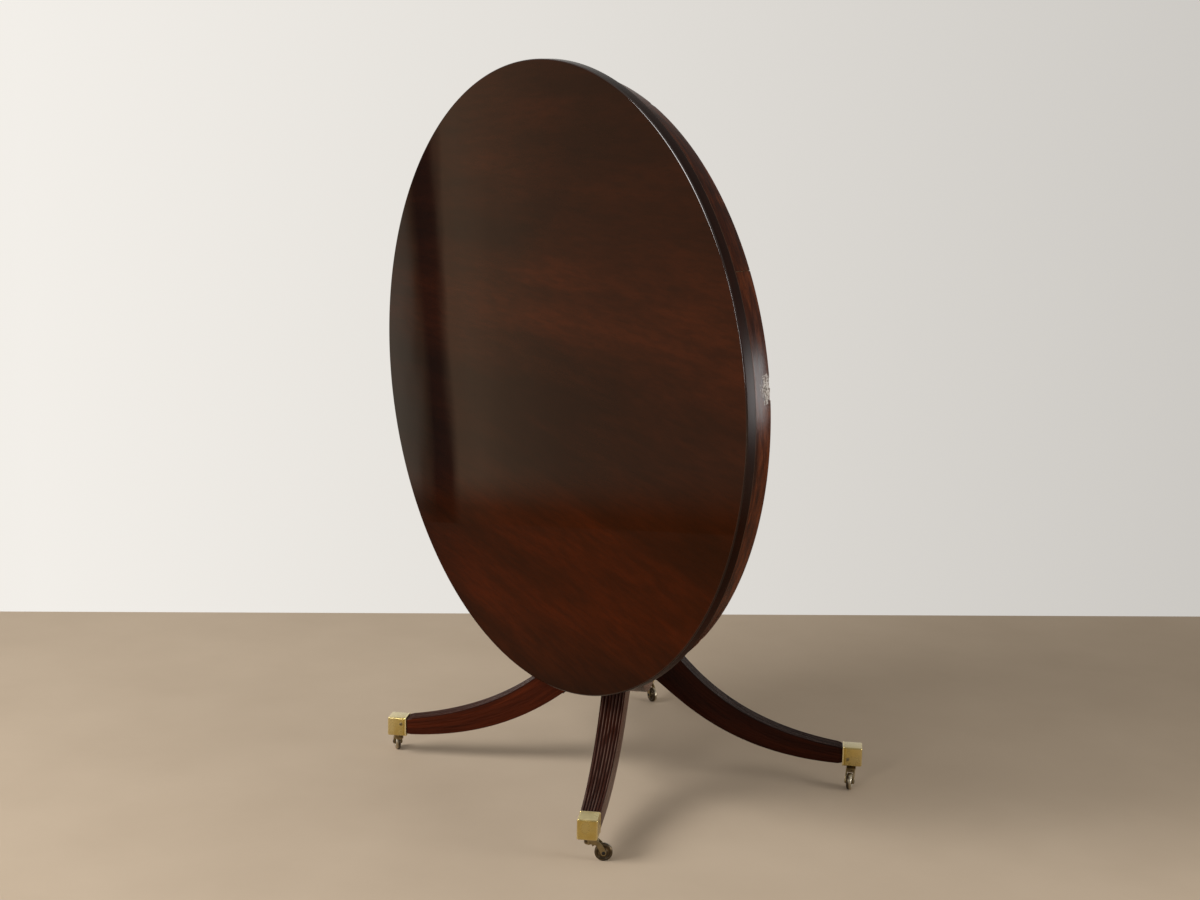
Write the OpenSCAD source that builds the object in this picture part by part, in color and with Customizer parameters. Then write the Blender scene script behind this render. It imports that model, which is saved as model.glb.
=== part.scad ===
// Round tilt-top breakfast table on a turned pillar with four reeded sabre legs.
// Millimetres, +Z up. The origin is on the floor, on the axis of the pillar.
// The top is drawn tipped up, as it stands when the table is put away:
// its polished face looks along -Y and the hinge line is parallel to X.

/* [Table top] */
// Diameter of the round top
top_d = 1220; // [1100:10:1400]
// Thickness of the solid board
board_t = 21; // [18:1:30]
// Rounding of the board's arris on the polished face
face_arris = 3; // [1:0.5:6]
// Rounding of the board's arris on the underside
under_arris = 1.5; // [0.5:0.5:4]
// Height of the polished face above the floor when the top is level
table_h = 719.5; // [700:0.5:760]

/* [Frieze] */
// How far the frieze stands in from the edge of the board
frieze_inset = 22.5; // [12:0.5:50]
// Depth of the frieze below the board
frieze_h = 51; // [40:1:70]
// Thickness of the bricks under the veneer
brick_w = 20; // [14:1:36]
// Number of bricks round the frieze
brick_count = 16; // [12:1:24]
// Thickness of the veneer
veneer_t = 2; // [1:0.5:4]
// Number of lengths of veneer round the frieze
veneer_count = 4; // [2:1:6]
// Bearing of the first joint in the veneer
veneer_turn = 25; // [0:1:60]
// Number of glue blocks in the corner of board and frieze
glue_block_count = 12; // [6:2:20]
// Length of a glue block, along the frieze
glue_block_l = 44; // [20:1:60]
// Width and height of a glue block
glue_block_s = 18; // [10:1:30]

/* [Bearers] */
// Thickness of each bearer, along the hinge line
bearer_w = 40; // [30:1:60]
// Depth of each bearer below the board
bearer_h = 48; // [44:1:60]
// Clearance between the bearers' ends and the ring of glue blocks
bearer_clear = 14; // [4:1:60]
// Length of the taper at each end of a bearer
bearer_taper = 90; // [20:5:150]
// Depth left at the thin end of a bearer
bearer_tip = 20; // [12:1:36]
// Screws in each bearer
bearer_screw_count = 5; // [3:1:8]
// Distance of the end screws from the ends of the bearer
bearer_screw_end = 110; // [40:5:160]
// Length of screw in the board
board_bite = 13; // [8:1:14]

/* [Tilt block] */
// Least distance of the hinge line from the pillar's axis
hinge_least = 155; // [130:5:190]
// Greatest drop of the tipped top's rim below the hinge line, so that it clears the legs
rim_drop = 455; // [420:5:460]
// Lean of the tipped top past the upright
lean = 2.45; // [0:0.05:6]
// Width of the block, along the hinge line
block_w = 230; // [190:5:280]
// Thickness of the block
block_t = 60; // [54:1:80]
// Distance of the block's catch end from the pillar's axis
block_back = 155; // [140:5:200]
// Depth of the pivot axis below the upper face of the block
pin_depth = 30; // [22:1:34]
// Diameter of the pivot pins
pin_d = 12; // [8:0.5:18]
// Length of each pivot pin inside the block
pin_grip = 45; // [20:1:60]

/* [Thumbscrews] */
// Diameter of the screws that hold the top level
thumb_d = 9; // [6:0.5:12]
// Travel of the thumbscrews
thumb_travel = 14; // [8:0.5:15]
// Distance of each thumbscrew from the middle of the block, along the hinge
thumb_x = 70; // [50:1:90]
// Distance of the thumbscrews from the pillar's axis, towards the catch end
thumb_y = 110; // [80:1:125]
// Outer diameter of the thumb ring
ring_d = 30; // [22:1:40]
// Thickness of the thumb ring
ring_t = 4; // [3:0.5:6]
// Diameter of the brass escutcheon below the block
escutcheon_d = 36; // [28:1:44]
// Thickness of the brass plates
plate_t = 2.5; // [1.5:0.5:4]
// Length of the catch plate in the board, along the hinge
catch_l = 60; // [40:1:80]
// Width of the catch plate
catch_w = 30; // [22:1:40]

/* [Pillar] */
// Radius of the drum that carries the legs
drum_r = 62; // [60:0.5:70]
// Distance of the flats for the legs from the pillar's axis
drum_flat = 56; // [50:0.5:57]
// Height of the drum above the legs' upper edges
drum_rise = 16; // [8:1:30]
// Radius of the collar under the block
collar_r = 50; // [40:1:60]
// Radius of the slender neck
neck_r = 25; // [18:1:32]
// Radius of the swelling of the vase
vase_r = 43; // [34:1:52]
// Height of the vase
vase_h = 160; // [110:5:170]
// Diameter of the tenon in the block
tenon_d = 46; // [36:1:56]
// Width of the wedge at the upper face of the block
wedge_w = 5; // [3:0.5:8]
// Depth of the wedge in the tenon
wedge_h = 36; // [20:1:44]

/* [Legs] */
// Turn of the legs against the diagonals of the top
base_turn = 1.6; // [0:0.1:5]
// Distance of the caps' outer faces from the pillar's axis
foot_r = 493.5; // [470:0.5:540]
// Height of a leg's upper edge where it meets the pillar
root_top = 316; // [300:1:340]
// Height of a leg's lower edge where it meets the pillar
root_low = 213; // [200:1:225]
// Width of a leg at the pillar
root_w = 50.5; // [44:0.5:52]
// Run of the first curve handle of the upper edge
top_run = 52; // [30:1:80]
// Fall of the first curve handle of the upper edge
top_fall = 34.5; // [20:0.5:60]
// Run of the first curve handle of the lower edge
low_run = 49; // [30:1:80]
// Fall of the first curve handle of the lower edge
low_fall = 28; // [15:0.5:50]
// Run of the curve handle of the upper edge at the toe
toe_top_run = 281; // [220:1:300]
// Rise of the curve handle of the upper edge at the toe
toe_top_rise = 37; // [20:0.5:50]
// Run of the curve handle of the lower edge at the toe
toe_low_run = 251; // [200:1:280]
// Rise of the curve handle of the lower edge at the toe
toe_low_rise = 6.5; // [0:0.5:20]
// Number of reeds along the upper side of a leg
reed_count = 7; // [5:1:9]
// Depth of the valleys between the reeds
reed_h = 2; // [1:0.25:3]
// Rounding of a leg's lower arrises
leg_arris = 2.5; // [1:0.25:5]
// Thickness of the tenon that enters the drum
leg_tenon_w = 16; // [10:1:24]
// Length of that tenon
leg_tenon_l = 24; // [12:1:28]
// Shoulder above and below that tenon
leg_tenon_step = 12; // [6:1:20]

/* [Leg plate] */
// Thickness of the iron plate under the legs
iron_t = 3; // [2:0.5:5]
// Width of an arm of the plate
iron_w = 24; // [16:1:32]
// Reach of the arms from the pillar's axis
iron_reach = 125; // [100:1:150]
// Radius of the screw circle in the middle of the plate
iron_screw_r = 34; // [24:1:44]

/* [Box caps] */
// Length of a brass cap, along the leg
cap_l = 39.5; // [34:0.5:48]
// Width of a cap
cap_w = 38; // [34:0.5:44]
// Height of a cap
cap_h = 39.5; // [34:0.5:46]
// Height of the caps' undersides above the floor
cap_z = 44.5; // [42:0.5:56]
// Thickness of a cap's walls
cap_wall = 2; // [1.5:0.25:3]
// Thickness of a cap's floor, where the castor turns
cap_floor = 5; // [4:0.5:8]
// Rounding of a cap's edges
cap_round = 2; // [1:0.25:3]
// Length of the raised band at a cap's mouth
band_l = 3; // [1.5:0.5:5]
// Height of that band above the cap's sides
band_h = 0.5; // [0.25:0.25:1]
// Distance of the cap screws from the mouth
cap_screw_in = 11; // [8:0.5:12]
// Depth of the higher cap screw below the cap's top
cap_screw_high = 13.5; // [9:0.5:16]
// Depth of the lower cap screw below the cap's top
cap_screw_low = 25; // [20:0.5:26]
// How far the leg stands in from the cap's sides
toe_side = 0.5; // [0.25:0.25:2]
// How far the leg's upper edge stands below the cap's top
toe_drop = 0.6; // [0:0.1:3]
// How far the leg's lower edge stands above the cap's underside
toe_rise = 4; // [1:0.5:4.5]

/* [Castors] */
// Diameter of a castor's wheel
wheel_d = 33; // [26:0.5:36]
// Width of a wheel at its hub
wheel_w = 12; // [8:0.5:16]
// Trail of the wheel behind the swivel
trail = 28; // [26:0.5:32]
// Diameter of the boss under the cap
boss_d = 18; // [14:0.5:20]
// Depth of the boss under the cap
boss_h = 12; // [8:0.5:13]
// Thickness of the fork's arms
arm_t = 2.6; // [1.5:0.1:4]
// Radius of the eye round the axle
eye_r = 5.2; // [4.5:0.1:7]
// Diameter of the axle
axle_d = 5; // [3:0.25:6]
// Diameter of the swivel stem
stem_d = 8; // [6:0.5:10]
// Directions in which the castors trail: front, right, back, left
castor_turn = [53.5, -50.5, -8.5, 157]; // [-180:0.5:180]

/* [Fits] */
// Clearance of a glued or driven piece
fit = 0.1; // [0.05:0.01:0.15]
// Radial clearance of a running pin
run = 0.05; // [0.02:0.01:0.09]
// Clearance between pieces that move past each other
gap = 0.4; // [0.3:0.05:0.8]

/* [Hidden] */
$fn = 96;
eps = 0.01;

top_r = top_d / 2;

// Tilt hinge: the board clears the block by one gap, level or tipped
board_under = table_h - board_t;
block_top = board_under - gap;
block_low = block_top - block_t;
hinge_z = block_top - pin_depth;
hinge_out = max(hinge_least, top_r - rim_drop);
tip = 90 + lean;

// Frieze, and the bearers inside its ring of glue blocks
frieze_r = top_r - frieze_inset;
brick_out = frieze_r - veneer_t - fit;
brick_in = brick_out - brick_w;
glue_seat_r = sqrt(pow(brick_in, 2) - pow(glue_block_l / 2, 2)) - fit;
bearer_x = block_w / 2 + gap + bearer_w / 2;
bearer_room = sqrt(pow(glue_seat_r - glue_block_s, 2) - pow(bearer_x + bearer_w / 2, 2));
bearer_l = 2 * (bearer_room - bearer_clear);

// Wood screws: radius of shank and head
screw_r = 2.5;
screw_head_r = 4.5;
screw_head_t = 3;
drum_bite = 22;
leg_bite = 18;
small_r = 1.5;
small_head_r = 3;
small_screw_l = 9;
cap_screw_l = 13;

// Bearer screws sit in counterbores
counterbore_r = screw_head_r + 0.5;
counterbore_h = 8;
bearer_screw_pitch = (bearer_l - 2 * bearer_screw_end) / (bearer_screw_count - 1);
bearer_screw_ys = [for (i = [0 : bearer_screw_count - 1])
    i * bearer_screw_pitch - bearer_l / 2 + bearer_screw_end];

// Catch: the thumbscrew ends one millimetre below the block's face at rest
thumb_rest = 1;
nose_h = 3;
nose_taper = 2;
shoulder_d = 16;
shoulder_h = 4;
ring_sink = 2;
nose_room = 1;
catch_screw_x = catch_l / 2 - 8;
catch_screw_y = catch_w / 2 - 6;
escutcheon_screw_r = escutcheon_d / 2 - 5;
escutcheon_low = block_low - plate_t;

// Legs and caps
leg_angles = [for (k = [0 : 3]) k * 90 - 45 + base_turn];
mouth_r = foot_r - cap_l;
swivel_r = foot_r - cap_l / 2;
cap_top = cap_z + cap_h;
end_w = cap_w - 2 * toe_side;
end_top = cap_top - toe_drop;
end_low = cap_z + toe_rise;
leg_stations = 22;
reed_steps = 4;
stem_h = cap_floor + 2 * gap;
stem_head_r = stem_d / 2 + 2.5;
stem_head_h = 2.5;
stem_head_top = cap_z - gap + stem_h + stem_head_h;
tongue_out = foot_r - cap_wall - 2;
tongue_top = min(cap_top - cap_wall - fit, end_top - reed_h - 0.5);
tongue_low = stem_head_top + 1;
tongue_w = cap_w - 2 * cap_wall - 2 * fit;
arm_screw_t = 0.25;

// Castors
wheel_r = wheel_d / 2;
fork_top = cap_z - gap;
fork_w = wheel_w + 2 * gap + 2 * arm_t;
axle_head_r = axle_d / 2 + 1;
axle_head_t = 1;
boss_mid = [0, fork_top - boss_h / 2 - 1];
knee_drop = 10;
knee_r = 6.3;
knee = [trail / 2, fork_top - knee_drop];

mahogany = [0.30, 0.11, 0.05];
dark_mahogany = [0.17, 0.07, 0.04];
pine = [0.72, 0.55, 0.35];
brass = [0.78, 0.62, 0.25];
old_brass = [0.38, 0.29, 0.14];
iron = [0.20, 0.19, 0.18];
steel = [0.45, 0.44, 0.42];

// Curves and outlines

function bezier(p, t) =
    pow(1 - t, 3) * p[0] + 3 * pow(1 - t, 2) * t * p[1]
    + 3 * (1 - t) * t * t * p[2] + pow(t, 3) * p[3];

function bezier_slope(p, t) =
    3 * pow(1 - t, 2) * (p[1] - p[0]) + 6 * (1 - t) * t * (p[2] - p[1])
    + 3 * t * t * (p[3] - p[2]);

function unit(v) = v / norm(v);

// Points of a circular arc in the plane
function arc(centre, r, from, to, steps) =
    [for (i = [0 : steps]) let (a = from + (to - from) * i / steps)
        centre + r * [cos(a), sin(a)]];

// A tapering bar with two round ends
module strap(p1, r1, p2, r2) {
    along = p2 - p1;
    aim = atan2(along[1], along[0]);
    open = acos((r1 - r2) / norm(along));
    translate(p1) circle(r = r1);
    translate(p2) circle(r = r2);
    polygon([
        p1 + r1 * [cos(aim + open), sin(aim + open)],
        p1 + r1 * [cos(aim - open), sin(aim - open)],
        p2 + r2 * [cos(aim - open), sin(aim - open)],
        p2 + r2 * [cos(aim + open), sin(aim + open)]
    ]);
}

// A rectangle from the origin with four round corners
module round_rect(w, h, r) {
    translate([r, 0]) square([w - 2 * r, h]);
    translate([0, r]) square([w, h - 2 * r]);
    for (x = [r, w - r], y = [r, h - r]) translate([x, y]) circle(r = r, $fn = 32);
}

// A box on the XY plane, centred on Y, with its twelve edges rounded
module round_box(l, w, h, r) {
    intersection() {
        translate([0, -w / 2, 0]) linear_extrude(h) round_rect(l, w, r);
        translate([0, w / 2, 0]) rotate([90, 0, 0]) linear_extrude(w) round_rect(l, h, r);
        translate([0, -w / 2, 0]) rotate([90, 0, 90]) linear_extrude(l) round_rect(w, h, r);
    }
}

// A screw that points up, with the underside of its round head at the origin
module screw(shank_r, head_r, head_t, length) {
    cylinder(r = shank_r, h = length, $fn = 24);
    translate([0, 0, -head_t]) cylinder(r = head_r, h = head_t, $fn = 32);
}

// Table top, drawn level

// Carries what is drawn level to its place when the top is tipped
module tipped() {
    translate([0, -hinge_out, hinge_z])
        rotate([tip, 0, 0])
            translate([0, hinge_out, -hinge_z])
                children();
}

module on_both_sides() {
    for (side = [-1, 1]) translate([side * bearer_x, 0, 0]) children();
}

module level_board() {
    difference() {
        translate([0, 0, board_under]) rotate_extrude($fn = 256) {
            square([top_r - face_arris, board_t]);
            translate([0, under_arris]) square([top_r, board_t - under_arris - face_arris]);
            square([top_r - under_arris, board_t / 2]);
            translate([top_r - face_arris, board_t - face_arris]) circle(r = face_arris, $fn = 48);
            translate([top_r - under_arris, under_arris]) circle(r = under_arris, $fn = 32);
        }
        for (y = bearer_screw_ys) on_both_sides()
            translate([0, y, board_under - 1])
                cylinder(r = screw_r + fit, h = board_bite + 1 + fit, $fn = 24);
        for (side = [-1, 1]) translate([side * thumb_x, thumb_y, board_under]) {
            translate([-catch_l / 2 - fit, -catch_w / 2 - fit, -1])
                cube([catch_l + 2 * fit, catch_w + 2 * fit, plate_t + 1 + fit]);
            cylinder(r = thumb_d / 2 + nose_room, h = thumb_travel + nose_room);
            for (x = [-1, 1], y = [-1, 1])
                translate([x * catch_screw_x, y * catch_screw_y, 0])
                    cylinder(r = small_r + fit, h = plate_t + small_screw_l + fit, $fn = 24);
        }
    }
}

module top_board() {
    color(mahogany) tipped() level_board();
}

// Short bricks of pine, glued end to end into a ring
module frieze_bricks() {
    brick_angle = 360 / brick_count;
    glue_angle = fit / brick_in * 180 / PI;
    color(pine) tipped()
        for (i = [0 : brick_count - 1])
            rotate([0, 0, i * brick_angle]) translate([0, 0, board_under - frieze_h])
                rotate_extrude(angle = brick_angle - glue_angle, $fn = 256)
                    translate([brick_in, 0]) square([brick_w, frieze_h]);
}

module frieze_veneer() {
    length_angle = 360 / veneer_count;
    joint_angle = 2 * fit / frieze_r * 180 / PI;
    color(mahogany) tipped()
        for (i = [0 : veneer_count - 1])
            rotate([0, 0, veneer_turn + i * length_angle])
                translate([0, 0, board_under - frieze_h])
                    rotate_extrude(angle = length_angle - joint_angle, $fn = 256)
                        translate([frieze_r - veneer_t, 0]) square([veneer_t, frieze_h]);
}

module glue_blocks() {
    color(pine) tipped()
        for (i = [0 : glue_block_count - 1])
            rotate([0, 0, (i + 0.5) * 360 / glue_block_count])
                translate([glue_seat_r - glue_block_s, -glue_block_l / 2, board_under - glue_block_s])
                    cube([glue_block_s, glue_block_l, glue_block_s]);
}

// A bearer tapers at both ends and is bored for its pivot pin and its screws
module level_bearer() {
    half = bearer_l / 2;
    difference() {
        translate([-bearer_w / 2, 0, board_under]) rotate([90, 0, 90]) linear_extrude(bearer_w)
            polygon([
                [-half, 0], [half, 0], [half, -bearer_tip],
                [half - bearer_taper, -bearer_h], [bearer_taper - half, -bearer_h],
                [-half, -bearer_tip]
            ]);
        translate([0, -hinge_out, hinge_z]) rotate([0, 90, 0])
            cylinder(r = pin_d / 2 + run, h = bearer_w + 2, center = true);
        for (y = bearer_screw_ys) translate([0, y, board_under - bearer_h - 1]) {
            cylinder(r = counterbore_r, h = counterbore_h + 1, $fn = 32);
            cylinder(r = screw_r + fit, h = bearer_h + 2, $fn = 24);
        }
    }
}

module bearer_left() {
    color(dark_mahogany) tipped() translate([-bearer_x, 0, 0]) level_bearer();
}

module bearer_right() {
    color(dark_mahogany) tipped() translate([bearer_x, 0, 0]) level_bearer();
}

module bearer_screws() {
    seat = board_under - bearer_h + counterbore_h;
    color(steel) tipped()
        for (y = bearer_screw_ys) on_both_sides()
            translate([0, y, seat])
                screw(screw_r, screw_head_r, screw_head_t, bearer_h - counterbore_h + board_bite);
}

// A pivot pin is driven through its bearer and turns in the block
module pivot_pin(side) {
    length = pin_grip + gap + bearer_w;
    start = block_w / 2 - pin_grip;
    color(steel) tipped()
        translate([side * start, -hinge_out, hinge_z]) rotate([0, side * 90, 0])
            cylinder(d = pin_d, h = length);
}

module pivot_pin_left() pivot_pin(-1);

module pivot_pin_right() pivot_pin(1);

// A brass plate let into the underside of the board takes the thumbscrew
module catch_plate(side) {
    color(brass) tipped() translate([side * thumb_x, thumb_y, board_under]) difference() {
        translate([-catch_l / 2, -catch_w / 2, 0]) cube([catch_l, catch_w, plate_t]);
        translate([0, 0, -1]) cylinder(r = thumb_d / 2 + nose_room, h = plate_t + 2);
        for (x = [-1, 1], y = [-1, 1])
            translate([x * catch_screw_x, y * catch_screw_y, -1])
                cylinder(r = small_r + fit, h = plate_t + 2, $fn = 24);
    }
}

module catch_plate_left() catch_plate(-1);

module catch_plate_right() catch_plate(1);

// These heads are sunk flush, so that the plate lies close to the block
module catch_plate_screws() {
    color(steel) tipped()
        for (side = [-1, 1], x = [-1, 1], y = [-1, 1])
            translate([side * thumb_x + x * catch_screw_x, thumb_y + y * catch_screw_y, board_under])
                cylinder(r = small_r, h = plate_t + small_screw_l, $fn = 24);
}

// Tilt block

// Side outline of the block: its hinge end is round about the pivot axis,
// then undercut by the lean, so that the tipped board rests flat against it
module block_outline() {
    pivot = [-hinge_out, hinge_z];
    touch = pivot - pin_depth * [cos(lean), sin(lean)];
    foot = [touch[0] + (touch[1] - block_low) * tan(lean), block_low];
    polygon(concat(
        arc(pivot, pin_depth, 90, 180 + lean, 24),
        [foot, [block_back, block_low], [block_back, block_top]]
    ));
}

module tilt_block() {
    color(mahogany) difference() {
        translate([-block_w / 2, 0, 0]) rotate([90, 0, 90]) linear_extrude(block_w) block_outline();
        for (side = [-1, 1])
            translate([side * (block_w / 2 - pin_grip - 2), -hinge_out, hinge_z])
                rotate([0, side * 90, 0]) cylinder(r = pin_d / 2 + run, h = pin_grip + 4);
        translate([0, 0, block_low - 1]) cylinder(r = tenon_d / 2 + fit, h = block_t + 2);
        for (side = [-1, 1]) translate([side * thumb_x, thumb_y, block_low]) {
            translate([0, 0, -1]) cylinder(r = thumb_d / 2 + run, h = block_t + 2);
            for (a = [0 : 120 : 240]) rotate([0, 0, a])
                translate([escutcheon_screw_r, 0, -1])
                    cylinder(r = small_r + fit, h = small_screw_l + 1 + fit, $fn = 24);
        }
    }
}

module escutcheon(side) {
    color(brass) translate([side * thumb_x, thumb_y, escutcheon_low]) difference() {
        cylinder(d = escutcheon_d, h = plate_t);
        translate([0, 0, -1]) cylinder(r = thumb_d / 2 + run, h = plate_t + 2);
        for (a = [0 : 120 : 240]) rotate([0, 0, a])
            translate([escutcheon_screw_r, 0, -1])
                cylinder(r = small_r + fit, h = plate_t + 2, $fn = 24);
    }
}

module escutcheon_left() escutcheon(-1);

module escutcheon_right() escutcheon(1);

module escutcheon_screws() {
    color(steel) for (side = [-1, 1], a = [0 : 120 : 240])
        translate([side * thumb_x, thumb_y, escutcheon_low]) rotate([0, 0, a])
            translate([escutcheon_screw_r, 0, 0])
                screw(small_r, small_head_r, 1, plate_t + small_screw_l);
}

// A thumbscrew hangs in the block by its full travel when the top is tipped
module thumbscrew(side) {
    tip_z = block_top - thumb_rest;
    neck_z = escutcheon_low - gap - thumb_travel;
    color(brass) translate([side * thumb_x, thumb_y, 0]) {
        translate([0, 0, neck_z]) cylinder(d = thumb_d, h = tip_z - nose_h - neck_z);
        translate([0, 0, tip_z - nose_h])
            cylinder(r1 = thumb_d / 2, r2 = thumb_d / 2 - nose_taper, h = nose_h, $fn = 64);
        translate([0, 0, neck_z - shoulder_h]) cylinder(d = shoulder_d, h = shoulder_h);
        translate([0, ring_t / 2, neck_z - shoulder_h - ring_d / 2 + ring_sink]) rotate([90, 0, 0])
            linear_extrude(ring_t) difference() {
                circle(d = ring_d);
                circle(d = ring_d / 2);
            }
    }
}

module thumbscrew_left() thumbscrew(-1);

module thumbscrew_right() thumbscrew(1);

// Pillar

drum_top = root_top + drum_rise;
tenon_top = block_top - 1;

// Mouldings: a rounded drum, two beads, the vase, a slender shaft, a ring, a cove and a bead
drum_round = 4;
low_bead = 7;
high_bead = 5;
ring_bead = 6;
fillet_h = 3;
cove_h = 26;
low_bead_x = drum_r - 2 * low_bead;
high_bead_x = low_bead_x - 4;
vase_z = drum_top + 2 * low_bead + 2 * high_bead + 2 * fillet_h;
shaft_z = vase_z + vase_h;
cove_z = block_low - 2 * ring_bead - cove_h;
ring_z = cove_z - fillet_h / 2 - 2 * ring_bead;

// Half outline of the turned pillar, from the axis at its foot to the axis at its head
pillar_outline = concat(
    [[0, root_low], [drum_r - drum_round, root_low]],
    arc([drum_r - drum_round, root_low + drum_round], drum_round, -90, 0, 4),
    arc([drum_r - drum_round, drum_top - drum_round], drum_round, 0, 90, 4),
    arc([low_bead_x, drum_top + low_bead], low_bead, -90, 90, 8),
    [[high_bead_x, vase_z - 2 * high_bead - fillet_h]],
    arc([high_bead_x, vase_z - high_bead - fillet_h], high_bead, -90, 90, 6),
    [[high_bead_x - 2 * fillet_h, vase_z - fillet_h]],
    [for (i = [0 : 24]) bezier([
        [neck_r + 2 * fillet_h, vase_z], [neck_r + fillet_h, vase_z + vase_h / 4],
        [vase_r * 1.55, vase_z + vase_h / 3], [neck_r + fillet_h, shaft_z]], i / 24)],
    [for (i = [1 : 10]) bezier([
        [neck_r + fillet_h, shaft_z], [neck_r, shaft_z + vase_h / 10],
        [neck_r, ring_z - vase_h / 8], [neck_r, ring_z]], i / 10)],
    arc([neck_r + fillet_h, ring_z + ring_bead], ring_bead, -90, 90, 6),
    [for (i = [0 : 8]) bezier([
        [neck_r + fillet_h, cove_z], [neck_r + fillet_h, cove_z + 0.7 * cove_h],
        [collar_r - 3 * ring_bead, cove_z + cove_h], [collar_r - ring_bead, cove_z + cove_h]], i / 8)],
    arc([collar_r - ring_bead, block_low - ring_bead], ring_bead, -90, 90, 8),
    [[tenon_d / 2, block_low], [tenon_d / 2, tenon_top], [0, tenon_top]]
);

// Tapered outline of the wedge, on the axis at the head of the tenon
module wedge_outline(room) {
    polygon([
        [-wedge_w / 2 - room, tenon_top + room], [wedge_w / 2 + room, tenon_top + room],
        [room + 0.5, tenon_top - wedge_h], [-room - 0.5, tenon_top - wedge_h]
    ]);
}

module pillar() {
    flat_h = root_top - root_low + 2;
    color(dark_mahogany) difference() {
        rotate_extrude($fn = 128) polygon(pillar_outline);
        for (a = leg_angles) rotate([0, 0, a]) {
            translate([drum_flat, -drum_r, root_low - 1]) cube([drum_r, 2 * drum_r, flat_h]);
            translate([drum_flat - leg_tenon_l - fit, -leg_tenon_w / 2 - fit, root_low - 1])
                cube([leg_tenon_l + drum_r, leg_tenon_w + 2 * fit,
                    root_top - root_low - leg_tenon_step + 1 + fit]);
        }
        translate([0, tenon_d, 0]) rotate([90, 0, 0]) linear_extrude(2 * tenon_d)
            wedge_outline(fit);
        for (a = leg_angles) rotate([0, 0, a + 45])
            translate([iron_screw_r, 0, root_low - 1])
                cylinder(r = screw_r + fit, h = 1 + drum_bite + fit, $fn = 24);
    }
}

// The wedge spreads the tenon in the block
module tenon_wedge() {
    half = sqrt(pow(tenon_d / 2, 2) - pow(wedge_w / 2, 2)) - fit;
    color(pine) translate([0, half, 0]) rotate([90, 0, 0]) linear_extrude(2 * half)
        wedge_outline(0);
}

// Legs: the radius from the pillar runs along X, and Z is up

upper_edge = [
    [drum_flat + fit, root_top], [drum_flat + top_run, root_top - top_fall],
    [mouth_r - toe_top_run, end_top + toe_top_rise], [mouth_r - fit, end_top]
];
lower_edge = [
    [drum_flat + fit, root_low], [drum_flat + low_run, root_low - low_fall],
    [mouth_r - toe_low_run, end_low + toe_low_rise], [mouth_r - fit, end_low]
];

// Half of the section goes round the foot of the leg, the rest over the reeds
function section(w, h, reed, arris) = concat(
    [for (p = arc([arris - w / 2, arris], arris, 180, 270, 2)) p],
    [for (p = arc([w / 2 - arris, arris], arris, 270, 360, 2)) p],
    [for (i = [0 : reed_count * reed_steps])
        [w / 2 - w * i / (reed_count * reed_steps),
            h - reed + reed * sin(180 * (i % reed_steps) / reed_steps)]]
);

// One ring of the leg, between a low and a high point of its side view
function ring(low, high, w, reed, arris) =
    let (h = norm(high - low), up = (high - low) / h)
    [for (p = section(w, h, reed, arris)) [low[0] + up[0] * p[1], p[0], low[1] + up[1] * p[1]]];

function leg_ring(t) =
    let (low = bezier(lower_edge, t), high = bezier(upper_edge, t),
        w = root_w + (end_w - root_w) * (high[0] - drum_flat) / (mouth_r - drum_flat))
    ring(low, high, w, reed_h, leg_arris);

function block_ring(x, z0, z1, w) = ring([x, z0], [x, z1], w, 0, 1);

tenon_low_z = root_low + 1;
tenon_high_z = root_top - leg_tenon_step;
leg_rings = concat(
    [block_ring(drum_flat - leg_tenon_l, tenon_low_z, tenon_high_z, leg_tenon_w)],
    [block_ring(drum_flat + fit, tenon_low_z, tenon_high_z, leg_tenon_w)],
    [for (i = [0 : leg_stations]) leg_ring(i / leg_stations)],
    [block_ring(mouth_r - fit, tongue_low, tongue_top, tongue_w)],
    [block_ring(tongue_out, tongue_low, tongue_top, tongue_w)]
);

module swept(rings) {
    n = len(rings[0]);
    count = len(rings);
    sides = [for (j = [0 : count - 2], i = [0 : n - 1])
        let (a = j * n + i, b = j * n + (i + 1) % n)
        each [[a, a + n, b + n], [a, b + n, b]]];
    start = [for (i = [0 : n - 1]) i];
    end = [for (i = [n : -1 : 1]) (count - 1) * n + i % n];
    polyhedron(points = [for (r = rings) each r], faces = concat(sides, [start, end]));
}

// Place on the underside of a leg, with Z pointing into the wood
module under_leg(t) {
    spot = bezier(lower_edge, t);
    slope = unit(bezier_slope(lower_edge, t));
    translate([spot[0], 0, spot[1]]) rotate([0, -atan2(slope[1], slope[0]), 0]) children();
}

module leg(k) {
    color(dark_mahogany) rotate([0, 0, leg_angles[k]]) swept(leg_rings);
}

module leg_front() leg(0);

module leg_right() leg(1);

module leg_back() leg(2);

module leg_left() leg(3);

// Iron plate under the drum, with an arm bent along the underside of each leg

function arm_reach_t(x, lo, hi, n) =
    n == 0 ? (lo + hi) / 2
    : let (mid = (lo + hi) / 2)
        bezier(lower_edge, mid)[0] < x ? arm_reach_t(x, mid, hi, n - 1)
        : arm_reach_t(x, lo, mid, n - 1);

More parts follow.
